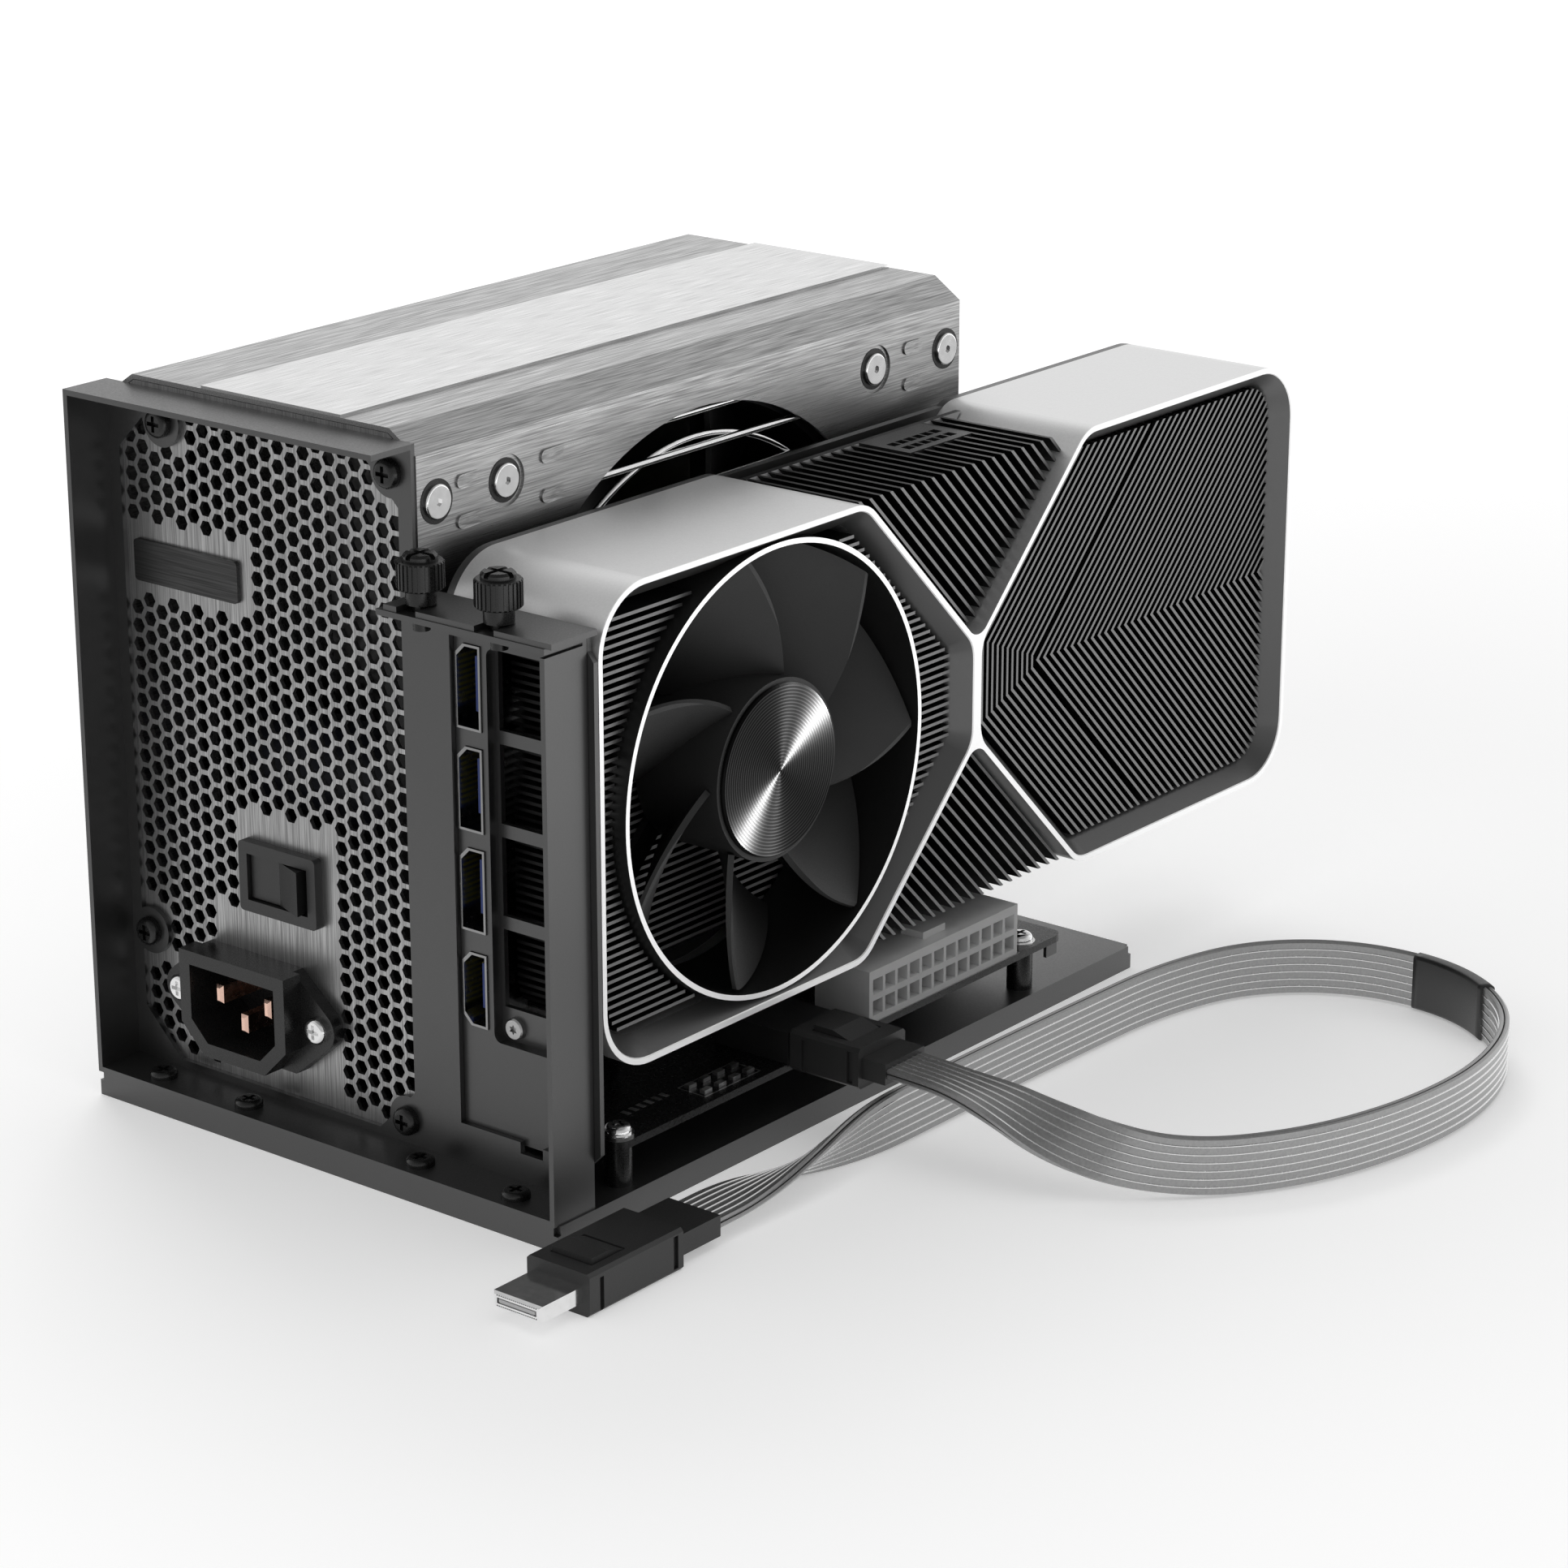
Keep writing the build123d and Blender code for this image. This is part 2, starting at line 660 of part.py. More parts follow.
def make_psu_switch_rocker():
    """Rocker with a shallow vee face, resting with its right half pressed."""
    height = switch_body_height / 2 - 1.2 - fit
    face = outline(
        (-rocker_half, -2.6), (0, -1.2), (rocker_half, -2.6),
        (rocker_half * 0.8, 3.2), (2.4, 6.0), (-2.4, 6.0), (-rocker_half * 0.8, 3.2),
    )
    rocker = Rot(0, 0, -rocker_angle) * slab_z(face, -height, height)
    reach = height + fit + pivot_reach
    rocker += rod((0, 0, -reach), (0, 0, 1), rocker_pin, 2 * reach)
    return Pos(switch_x, 0, switch_z) * rocker


def fan_rotor(hub_radius, tip_radius, depth, hub_depth, count, chords, pitches, lean):
    """Fan wheel about the x axis, from x = 0, with broad twisted blades.

    Chords and pitches are given at the hub and at the tip, and the lean is how far the tip turns ahead.
    """
    blade_thick = 1.3
    chord_root, chord_tip = chords
    pitch_root, pitch_tip = pitches
    sections = []
    for share in (0.0, 0.5, 1.0):
        reach = hub_radius - 1.5 + share * (tip_radius + 1.5 - hub_radius)
        angle = math.radians(lean * share)
        chord = chord_root + share * (chord_tip - chord_root)
        pitch = pitch_root + share * (pitch_tip - pitch_root)
        radial = (0, math.cos(angle), math.sin(angle))
        tangent = (0, -math.sin(angle), math.cos(angle))
        middle = (depth / 2, reach * radial[1], reach * radial[2])
        section = Plane(middle, x_dir=tangent, z_dir=radial)
        sections.append(section * (Rot(0, 0, pitch) * Rectangle(chord, blade_thick)))
    blade = loft(sections) & rod((0, 0, 0), (1, 0, 0), tip_radius, depth)
    hub = rod((0, 0, 0), (1, 0, 0), hub_radius, hub_depth)
    return hub + [Rot(360 / count * turn, 0, 0) * blade for turn in range(count)]


def make_psu_fan_frame():
    """Square fan frame behind the guard, with a motor plate on four arms."""
    half = psu_fan_frame_side / 2
    back = psu_fan_front - psu_fan_depth
    square = Pos(psu_fan_y, psu_fan_z) * fillet(Rectangle(2 * half, 2 * half).vertices(), psu_fan_corner)
    bore = Pos(psu_fan_y, psu_fan_z) * Circle(psu_fan_bore)
    frame = slab_x(square - bore, back, psu_fan_front)
    plate = Pos(psu_fan_y, psu_fan_z) * Circle(psu_fan_hub)
    reach = 2 * psu_fan_bore + psu_fan_frame_wall
    for angle in (45, 135):
        arm = Pos(psu_fan_y, psu_fan_z) * Rot(0, 0, angle) * Rectangle(reach, psu_fan_arm)
        plate += arm
    return frame + slab_x(plate, back, back + psu_fan_plate)


def make_psu_fan_rotor():
    """Fan wheel of the power supply."""
    depth = psu_fan_depth - psu_fan_plate - 2 * fit - 1.0
    start = psu_fan_front - psu_fan_depth + psu_fan_plate + fit
    rotor = fan_rotor(psu_fan_hub - 1.0, psu_fan_tip, depth, depth, 7, (26.0, 40.0), (40.0, 24.0), 14.0)
    return Pos(start, psu_fan_y, psu_fan_z) * rotor


def make_psu_fan_guard():
    """Wire guard: level straight wires on two rings, the outer one hidden behind the hole's edge."""
    x = psu_width - psu_wall - guard_wire - seat
    rings = [
        toward((x - 1.5 * guard_wire, psu_fan_y, psu_fan_z), (1, 0, 0)) * Torus(radius, guard_wire)
        for radius in (guard_ring, guard_outer_ring)
    ]
    wires = []
    for index in range(-guard_bars, guard_bars + 1):
        height = index * guard_pitch
        half = math.sqrt((guard_outer_ring + guard_wire) ** 2 - height**2)
        start = (x, psu_fan_y - half, psu_fan_z + height)
        wires.append(rod(start, (0, 1, 0), guard_wire, 2 * half))
    return rings[0] + (rings[1:] + wires)


def make_psu_side_screws():
    """Bright button screws along the cover's upper edge."""
    screw_z = psu_height - side_screw_drop
    screws = []
    for index, y in enumerate(side_screw_places):
        sink = dimple_depth if index in (1, 2) else 0
        head = rod((0, 0, 0), (0, 0, 1), side_screw_head, 0.9)
        head = fillet(head.edges().group_by(Axis.Z)[-1], 0.4)
        head -= slab_z(RegularPolygon(0.9, 6), 0.4, 0.9)
        head += rod((0, 0, 0), (0, 0, -1), board_screw, psu_wall + 2.0)
        screws.append(toward((psu_width - sink, y, screw_z), (1, 0, 0)) * head)
    return group(screws)


def make_psu_circuit_board():
    """Main board inside the power supply, on four posts along the left wall."""
    board = block(psu_board_x, psu_board_x + board_thick, 22.0, psu_depth - 8.0, 8.0, psu_height - 10.0)
    for y in (28.0, psu_depth - 14.0):
        for z in (14.0, psu_height - 16.0):
            board += rod((psu_wall, y, z), (1, 0, 0), 3.0, psu_board_x - psu_wall)
    return board


def make_psu_heat_sinks():
    """Two comb-shaped heat sinks standing on the main board."""
    start = psu_parts_start
    low = 22.0
    high = psu_height - 20.0
    tooth_pitch = 8.0
    teeth = int(psu_parts_reach / tooth_pitch)
    sinks = []
    for y in (58.0, psu_depth - 50.0):
        comb = block(start, start + psu_parts_reach, y, y + 3.0, low, high)
        for step in range(teeth):
            tooth = start + 4.0 + tooth_pitch * step
            comb += block(tooth, tooth + 2.0, y + 3.0, y + 12.0, low, high)
        sinks.append(comb)
    return group(sinks)


def make_psu_transformer():
    """Wound transformer between the heat sinks."""
    start = psu_parts_start
    end = start + psu_parts_reach - 12.0
    core = block(start, end, 80.0, 116.0, 50.0, 96.0)
    winding = block(start + 5.0, end - 5.0, 74.0, 122.0, 58.0, 88.0)
    return core + winding


def make_psu_capacitors():
    """Smoothing capacitors standing on the main board."""
    start = psu_parts_start
    far = psu_depth - 26.0
    large = (11.0, psu_parts_reach - 2.0)
    small = (8.0, psu_parts_reach - 14.0)
    places = ((40.0, 30.0, large), (40.0, 60.0, large), (far, 40.0, small), (far, 62.0, small))
    cans = []
    for y, z, (radius, height) in places:
        can = rod((start, y, z), (1, 0, 0), radius, height)
        cans.append(fillet(can.edges().group_by(Axis.X)[-1], 1.2))
    return group(cans)


# Graphics card

def loop_points(side, inset):
    """Corners of an end block's outline in y and z: side -1 is the near block, 1 the far one."""
    reach = card_length / 2 - inset
    shoulder = card_length / 2 - loop_shoulder + inset * (math.sqrt(2) - 1)
    waist = waist_gap / 2 + inset
    low = card_bottom + inset
    high = card_top - inset
    rise = waist_half - inset * (math.sqrt(2) - 1)
    across = ((reach, low), (shoulder, low), (waist, card_middle - rise))
    points = [(waist_y + side * y, z) for y, z in across]
    points += [(waist_y + side * waist, card_middle + rise)]
    points += [(waist_y + side * shoulder, high), (waist_y + side * reach, high)]
    return points


def loop_face(side, inset):
    """An end block's outline with rounded corners, inset from its outer wall."""
    corner = max(loop_corner - inset, 2.0)
    bend = max(loop_bend - inset, 2.0)
    radii = [corner, bend, bend, bend, bend, corner]
    return make_face(FilletPolyline(*loop_points(side, inset), radius=radii, close=True))


def make_card_frame():
    """Silver frame: two end blocks joined at the waist, with sloped inner edges behind a thin rim."""
    slope_start = card_front - frame_slope
    frame = None
    for side in (-1, 1):
        loop = slab_x(loop_face(side, 0), frame_back, card_front)
        frame = loop if frame is None else frame + loop
    frame += slab_x(waist_bridge(), frame_back, card_front)
    for side in (-1, 1):
        frame -= slab_x(loop_face(side, frame_wall), frame_back, slope_start)
        mouth = [
            Plane((x, 0, 0), x_dir=(0, 1, 0), z_dir=(1, 0, 0)) * loop_face(side, inset)
            for x, inset in ((slope_start, frame_wall), (card_front, frame_rim))
        ]
        frame -= loft(mouth, ruled=True)
    fan_bore = shroud_outer + seat
    frame -= rod((frame_back + 10.0, front_fan_y, card_middle), (1, 0, 0), fan_bore, frame_depth)
    frame -= block(
        frame_back, circuit_front + fit, card_start + frame_wall, circuit_far + fit, 0, circuit_top + fit
    )
    inside = (frame_back + board_back_gap, card_front - frame_slope)
    frame -= block(*inside, 0, port_depth + 2 * fit, pocket_low - 4.0, pocket_high + 2.0)
    pocket_back = seat + bracket_sheet + pocket_depth + fit
    pocket_side = card_front - pocket_right + fit
    frame -= block(frame_back, pocket_side, 0, pocket_back, pocket_low - 4.0, pocket_high + 2.0)
    return frame


def notch_foot():
    """Half width and height, from the card's middle, where a notch's straight sides end in its round foot."""
    aside = notch_round / math.sqrt(2)
    return aside, waist_half - waist_gap / 2 + aside


def waist_bridge():
    """Area that joins the end blocks at the waist, hollowed round at the foot of each notch."""
    aside, rise = notch_foot()
    lap = waist_gap / 2 + waist_lap
    straight = waist_half - loop_bend / 2
    upper = [(lap, straight), (aside, rise), (-aside, rise), (-lap, straight)]
    lower = [(-y, -z) for y, z in upper]
    bridge = outline(*upper, *lower)
    for side in (-1, 1):
        bridge -= Pos(0, side * (rise + aside)) * Circle(notch_round)
    return Pos(waist_y, card_middle) * bridge


def make_card_rear_cover():
    """Black rear cover with the second fan's opening at its far end."""
    face = loop_face(-1, 0) + loop_face(1, 0)
    face += rectangle(card_start + 60.0, card_end - 60.0, card_bottom + 1.0, card_top - 1.0)
    face -= Pos(rear_fan_y, card_middle) * Circle(rear_fan_tip + 2.0)
    return slab_x(face, card_back, frame_back)


def make_card_circuit_board():
    """Card's circuit board, with its edge fingers reaching into the slot."""
    face = rectangle(circuit_near, circuit_far, circuit_bottom, circuit_top)
    face += rectangle(finger_near, finger_far, finger_bottom, circuit_bottom)
    return slab_x(face, circuit_x, circuit_front)


def make_card_processor():
    """Chip package between the circuit board and the fins."""
    half = processor_side / 2
    middle = waist_y - processor_offset
    return block(
        circuit_front, circuit_front + processor_thick, middle - half, middle + half,
        card_middle - half, card_middle + half,
    )


def make_card_power_socket():
    """Small two-row power socket in the card's top, opening upwards."""
    body = block(fin_back + fin_base, power_x1, power_y0, power_y1, power_z0, power_z1)
    cell = 2.4
    for row in (0, 1):
        for column in range(6):
            x = power_x1 - 3.2 - 4.0 * row
            y = power_y0 + 3.6 + 2.96 * column
            body -= block(x - cell / 2, x + cell / 2, y - cell / 2, y + cell / 2, power_z1 - 8.0, power_z1)
    return body


def make_card_fan_shroud():
    """Ring around the front fan, with a motor plate on four arms at its back."""
    back = circuit_front + shroud_back
    ring = rod((back, 0, 0), (1, 0, 0), shroud_outer, card_front - 0.4 - back)
    ring -= rod((back, 0, 0), (1, 0, 0), shroud_outer - shroud_wall, frame_depth)
    plate = Circle(fan_hub - 2.0)
    for angle in (45, 135):
        plate += Rot(0, 0, angle) * Rectangle(2 * shroud_outer - 1.0, 5.0)
    return Pos(0, front_fan_y, card_middle) * (ring + slab_x(plate, back, back + mount_thick))


def make_card_fan_front():
    """Front fan wheel."""
    tip = shroud_outer - shroud_wall - fan_tip_gap
    depths = (front_rotor_depth, front_hub_depth)
    rotor = fan_rotor(fan_hub, tip, *depths, fan_blades, (25.0, 43.0), (-46.0, -28.0), 22.0)
    return Pos(front_rotor_back, front_fan_y, card_middle) * rotor


def make_card_fan_cap():
    """Turned metal cap on the front fan's hub."""
    start = front_rotor_back + front_hub_depth
    cap = rod((start, front_fan_y, card_middle), (1, 0, 0), fan_hub - cap_margin, cap_thick)
    return chamfer(cap.edges().group_by(Axis.X)[-1], 0.4)


def make_card_fan_rear():
    """Second fan wheel, at the far end behind the card."""
    depths = (rear_rotor_depth, rear_rotor_depth)
    rotor = fan_rotor(15.0, rear_fan_tip, *depths, fan_blades, (18.0, 32.0), (40.0, 22.0), 14.0)
    return Pos(rear_rotor_back, rear_fan_y, card_middle) * rotor


def make_card_rear_fan_mount():
    """Motor plate of the second fan, on four arms that end at the frame's inner wall."""
    start = rear_rotor_back + rear_rotor_depth + fit
    plate = Pos(rear_fan_y, card_middle) * Circle(14.0)
    for angle in (35, 145):
        plate += Pos(rear_fan_y, card_middle) * Rot(0, 0, angle) * Rectangle(150.0, 5.0)
    return slab_x(plate & loop_face(1, frame_wall + seat), start, start + mount_thick)


def make_card_fins_left():
    """Level fins of the near block, cut away around the front fan, on a thin base."""
    root = fin_back + fin_base / 2
    deep = circuit_front + shroud_back - 1.5
    link = 1.5  # strip that carries each fin past the ports to the near wall
    clear = shroud_outer + fit
    corner = loop_corner - frame_wall
    near = card_start + frame_wall + fit
    behind_ports = port_depth + 4.0
    far_limit = waist_y - waist_gap / 2 - frame_wall - fit
    diagonal_end = waist_y - waist_gap / 2 + waist_half - (frame_wall + fit) * math.sqrt(2)
    half_height = card_height / 2 - frame_wall - fit - 1.2
    base_far = card_start + loop_shoulder - 6.0
    base_low = card_middle - half_height
    stack = block(fin_back, fin_back + fin_base, behind_ports, base_far, base_low, base_low + 2 * half_height)
    count = int(2 * half_height / left_fin_pitch)
    fins = []
    for index in range(count):
        z = (index - (count - 1) / 2) * left_fin_pitch
        rise = abs(z) + fin_thick / 2
        far = min(far_limit, diagonal_end - rise)
        lift = max(0.0, rise - (card_height / 2 - frame_wall - corner))
        start = near + corner - math.sqrt(max(corner**2 - lift**2, 0.0))
        gap = math.sqrt(clear**2 - max(rise - fin_thick, 0.0) ** 2)
        profile = rectangle(root, deep, behind_ports, far) + rectangle(deep - link, deep, start, far)
        if front_fan_y - gap > start + 0.5:
            profile += rectangle(deep - link, fin_front, start, front_fan_y - gap)
        if front_fan_y + gap < far - 0.5:
            profile += rectangle(deep - link, fin_front, front_fan_y + gap, far)
        fins.append(slab_z(profile, card_middle + z - fin_thick / 2, card_middle + z + fin_thick / 2))
    return stack + fins


def diagonal_strip(y, z, thick):
    """Long thin strip through a point, falling towards the card's far end."""
    return Pos(y, z) * Rot(0, 0, -45) * Rectangle(4 * card_height, thick)


def centre_area(side):
    """Notch between the end blocks above the waist (side 1) or below it (side -1)."""
    edge = card_length / 2 - loop_shoulder
    tip = notch_foot()[1] + 2 * fit
    reach = card_height / 2 - 0.9
    half_low = waist_gap / 2 + (tip - waist_half) - fit
    half_high = min(half_low + reach - tip, edge)
    foot = [(-half_low, side * tip), (half_low, side * tip)]
    head = [(half_high, side * reach), (-half_high, side * reach)]
    return Pos(waist_y, card_middle) * outline(*foot, *head)


def make_card_fins_centre(side):
    """Slanted fins between the end blocks, above or below the waist, on a thin base."""
    area = centre_area(side)
    stack = slab_x(area, fin_back, fin_back + fin_base)
    step = centre_fin_pitch * math.sqrt(2)
    count = int(1.2 * card_length / step)
    fins = []
    for index in range(count):
        strip = diagonal_strip(waist_y - 0.6 * card_length + index * step, card_middle, fin_thick) & area
        faces = [face for face in strip.faces() if face.area > 2.0]
        fins += [slab_x(face, fin_back + fin_base / 2, fin_front) for face in faces]
    stack = stack + fins
    if side > 0:
        stack -= block(
            fin_back + fin_base, power_x1 + fit, power_y0 - fit, power_y1 + fit, power_z0 - fit, card_top
        )
    return stack


def chevron(index):
    """Bent strip of the far block's fin stack, counted from the waist."""
    slant = math.tan(math.radians(22.5))
    start_half = waist_half - frame_wall * slant
    shrink = right_fin_pitch * slant
    flat_count = int((start_half - fin_thick) / shrink)
    half = start_half - index * shrink
    y = waist_y + waist_gap / 2 + frame_wall + right_fin_pitch * (min(index, flat_count) + 0.6)
    y += max(index - flat_count, 0) * right_fin_pitch * math.sqrt(2)
    run = 2 * card_height
    thick = fin_thick * math.sqrt(2)
    if index < flat_count:
        lean = fin_thick * slant
        inner = [(y + fin_thick, -half + lean), (y + fin_thick, half - lean)]
        outer = [(y, half), (y, -half)]
    else:
        half = 0.0
        inner = [(y + thick, 0)]
        outer = [(y, 0)]
    low = [(y + run, -half - run), (y + run + thick, -half - run)]
    high = [(y + run + thick, half + run), (y + run, half + run)]
    return Pos(0, card_middle) * outline(*low, *inner, *high, *outer)


def make_card_fins_right():
    """Chevron fins of the far block, tied by level strips at their back."""
    area = loop_face(1, frame_wall + fit)
    start = rear_rotor_back + rear_rotor_depth + fit + mount_thick
    tie_thick = 1.0
    tie_rises = (-24.0, 0.0, 24.0)
    ties = [Pos(0, card_middle + rise) * rectangle(waist_y, card_end, -3.0, 3.0) & area for rise in tie_rises]
    count = int(card_length / 2 / right_fin_pitch)
    fins = []
    for index in range(count):
        piece = chevron(index) & area
        if piece is not None:
            faces = [face for face in piece.faces() if face.area > 3.0]
            fins += [slab_x(face, start + tie_thick / 2, fin_front) for face in faces]
    backs = [slab_x(tie, start, start + tie_thick) for tie in ties]
    return backs[0] + (backs[1:] + fins)


# Card bracket

def port_heights():
    """Heights of the four video ports, from the top down."""
    return [shelf_top - port_drop - port_pitch * index for index in range(4)]


def port_outline(index, grow):
    """Opening of one video port: three tall ones with a cut corner, the last with two."""
    half = (last_port_long if index == 3 else port_long) / 2 + grow
    across = port_short / 2 + grow
    cut = 2.2
    low_cut = cut if index == 3 else 0.0
    points = [(-across, half - cut), (-across, low_cut - half)]
    if low_cut:
        points.append((-across + cut, -half))
    points += [(across, -half), (across, half), (-across + cut, half)]
    return Pos(port_x, port_heights()[index]) * outline(*points)


def make_card_bracket():
    """Two-slot bracket: a plate behind the rear panel, a vented pocket and a tab on the shelf."""
    left = psu_width + bracket_left
    back = bracket_sheet + seat
    top = shelf_top + bracket_sheet
    plate = outline(
        (left, bracket_bottom + 3.0), (left + 3.0, bracket_bottom), (card_front - 3.0, bracket_bottom),
        (card_front, bracket_bottom + 3.0), (card_front, shelf_top - 5.4), (panel_right, shelf_top - 3.4),
        (panel_right, top), (left, top),
    )
    pocket = rectangle(left + pocket_left, card_front - pocket_right, pocket_low, pocket_high)
    pocket = fillet(pocket.vertices(), 3.0)
    inner = offset(pocket, amount=-bracket_sheet)
    bracket = slab_y(plate - pocket, seat, back)
    bracket += slab_y(pocket - inner, seat, back + pocket_depth)
    windows = []
    vent_height = 16.6
    vent_bar = 2.8
    vent_top = pocket_high - 2.0
    vent_left = left + pocket_left + 2.0
    vent_right = card_front - pocket_right - 2.0
    for index in range(4):
        high = vent_top - index * (vent_height + vent_bar)
        windows.append(rectangle(vent_left, vent_right, high - vent_height, high))
    floor = pocket
    for window in windows:
        floor -= window
    floor -= Pos(*bracket_screw_place()) * Circle(board_screw + seat)
    bracket += slab_y(floor, back + pocket_depth - bracket_sheet, back + pocket_depth)
    bracket += block(left - tab_overhang, card_front, panel_front + fit, back, shelf_top, top)
    for x in thumb_places():
        radius = thumb_shank + 0.8
        bracket -= rod((x, -thumb_lead, shelf_top), (0, 0, 1), radius, bracket_sheet)
        bracket -= block(x - radius, x + radius, panel_front, -thumb_lead, shelf_top, top)
    for index in range(4):
        bracket -= slab_y(port_outline(index, port_wall + seat), 0, back)
    return bracket


def bracket_screw_place():
    """Centre of the screw in the bracket's pocket, in x and z."""
    return (psu_width + bracket_left + pocket_left + 5.0, pocket_low + 4.2)


def make_card_bracket_screw():
    """Star-head screw in the bracket's pocket."""
    x, z = bracket_screw_place()
    floor_front = seat + pocket_depth
    screw = rod((0, 0, 0), (0, 0, 1), 2.3, 1.2)
    screw = chamfer(screw.edges().group_by(Axis.Z)[-1], 0.3)
    star = RegularPolygon(1.1, 3) + Rot(0, 0, 180) * RegularPolygon(1.1, 3)
    screw -= slab_z(star, 0.5, 1.2)
    screw += rod((0, 0, 0), (0, 0, -1), board_screw, bracket_sheet + 1.0)
    return toward((x, floor_front, z), (0, -1, 0)) * screw


def make_card_port_shells():
    """Bright metal shells of the four video ports."""
    shells = []
    for index in range(4):
        ring = slab_y(port_outline(index, port_wall), seat - 0.4, port_depth)
        shells.append(ring - slab_y(port_outline(index, 0.0), seat - 0.4, port_depth - 1.0))
    return group(shells)


def make_card_port_cores():
    """Contact tongues standing inside the ports."""
    cores = []
    for index, z in enumerate(port_heights()):
        half = (last_port_long if index == 3 else port_long) / 2 - 2.6
        cores.append(block(port_x - 0.4, port_x + 0.8, 2.5, port_depth - 1.0, z - half, z + half))
    return group(cores)


# Riser board

def make_riser_board():
    """Riser board with rounded corners and four screw holes."""
    face = rectangle(riser_left, riser_right, board_near, board_far)
    face = fillet(face.vertices(), 3.0)
    for x, y in standoff_places():
        face -= Pos(x, y) * Circle(board_screw + seat)
    return slab_z(face, riser_bottom, riser_top)


def make_board_standoffs():
    """Threaded pillars between the base and the riser board."""
    pillars = []
    for x, y in standoff_places():
        pillar = rod((x, y, 0), (0, 0, 1), standoff_radius, standoff_height)
        pillars.append(pillar - rod((x, y, 0), (0, 0, 1), board_screw + seat, standoff_height))
    return group(pillars)


def make_board_screws():
    """Screws with washers above the riser board, and matching ones below the base."""
    screw = pan_screw(2.9, 2.4, board_screw, 5.0)
    screw += rod((0, 0, 0), (0, 0, 1), 3.4, 0.6)
    upper = [Pos(x, y, riser_top) * screw for x, y in standoff_places()]
    lower = [toward((x, y, -sheet), (0, 0, -1)) * pan_screw(2.9, 2.0, board_screw, 4.0)
             for x, y in standoff_places()]
    return group(upper + lower)


def make_card_slot():
    """Long card slot on the riser board."""
    far = slot_near + slot_length
    half = slot_width / 2
    slot = block(slot_x - half, slot_x + half, slot_near, far, riser_top, riser_top + slot_height)
    for cheek in (slot_x - half, slot_x + swing_half + fit):
        thick = half - swing_half - fit
        slot += block(cheek, cheek + thick, far, far + cheek_length, riser_top, riser_top + cheek_height)
    slot -= rod(latch_pivot(-half), (1, 0, 0), swing_pin + fit, 2 * half)
    half = board_thick / 2 + seat
    return slot - block(
        slot_x - half, slot_x + half, finger_near - seat, finger_far + seat,
        finger_bottom - 0.8, riser_top + slot_height,
    )


def latch_pivot(offset_x):
    """Point on the pivot of the slot's latch."""
    near = slot_near + slot_length + fit
    return (slot_x + offset_x, near + swing_pivot_back, riser_top + swing_pivot_rise)


def make_slot_latch():
    """Swinging latch between two cheeks at the slot's far end."""
    near = slot_near + slot_length + fit
    low = riser_top + fit
    side = outline(
        (near, low + 2.6), (near + 1.2, low + 1.0), (near + 4.4, low + 1.0), (near + 6.4, low + 9.4),
        (near + 5.0, low + 10.4), (near + 1.4, low + 10.4), (near, low + 7.4),
    )
    latch = slab_x(side, slot_x - swing_half, slot_x + swing_half)
    reach = swing_half + fit + pivot_reach
    return latch + rod(latch_pivot(-reach), (1, 0, 0), swing_pin, 2 * reach)


def make_power_header():
    """Clear two-row power header that opens to the right, with a keeper on its top."""
    front = riser_right - 0.4
    back = front - header_depth
    top = riser_top + header_height
    header = block(back, front, header_near, header_far, riser_top, top)
    pitch = (header_far - header_near - 1.6) / header_cells
    cell = pitch - 0.9
    for row in (0, 1):
        z = riser_top + 1.4 + cell / 2 + row * (cell + 1.4)
        for column in range(header_cells):
            y = header_near + 0.8 + pitch * (column + 0.5)
            header -= block(front - 10.0, front, y - cell / 2, y + cell / 2, z - cell / 2, z + cell / 2)
    middle = (header_near + header_far) / 2
    return header + block(front - 9.0, front - 3.0, middle - 4.0, middle + 4.0, top, top + 1.6)


def make_cable_socket():
    """Dark data socket at the riser board's right edge."""
    half = socket_width / 2
    socket = block(
        riser_right - socket_depth, riser_right, socket_y - half, socket_y + half,
        riser_top, riser_top + socket_height,
    )
    half_width = tongue_width / 2 + seat
    half_height = tongue_height / 2 + seat
    cavity_depth = tongue_length + 0.5
    return socket - block(
        riser_right - cavity_depth, riser_right, socket_y - half_width, socket_y + half_width,
        plug_axis_z - half_height, plug_axis_z + half_height,
    )


def make_board_small_parts():
    """Two rows of small parts near the board's right edge."""
    parts_list = []
    for row in (0, 1):
        for column in range(4):
            x = riser_right - 4.0 - 4.2 * row
            y = 40.5 + 4.6 * column
            parts_list.append(block(x - 0.7, x + 0.7, y - 1.2, y + 1.2, riser_top, riser_top + 0.8))
    return group(parts_list)


def make_board_corner_clip():
    """Small folded clip under the riser board's far corner."""
    clip = block(riser_right - 6.0, riser_right - 0.5, board_far - 6.0, board_far - 2.0,
                 riser_bottom - 0.8, riser_bottom)
    return clip + block(riser_right - 1.3, riser_right - 0.5, board_far - 6.0, board_far - 2.0,
                        riser_bottom - 3.0, riser_bottom - 0.8)


# Data cable

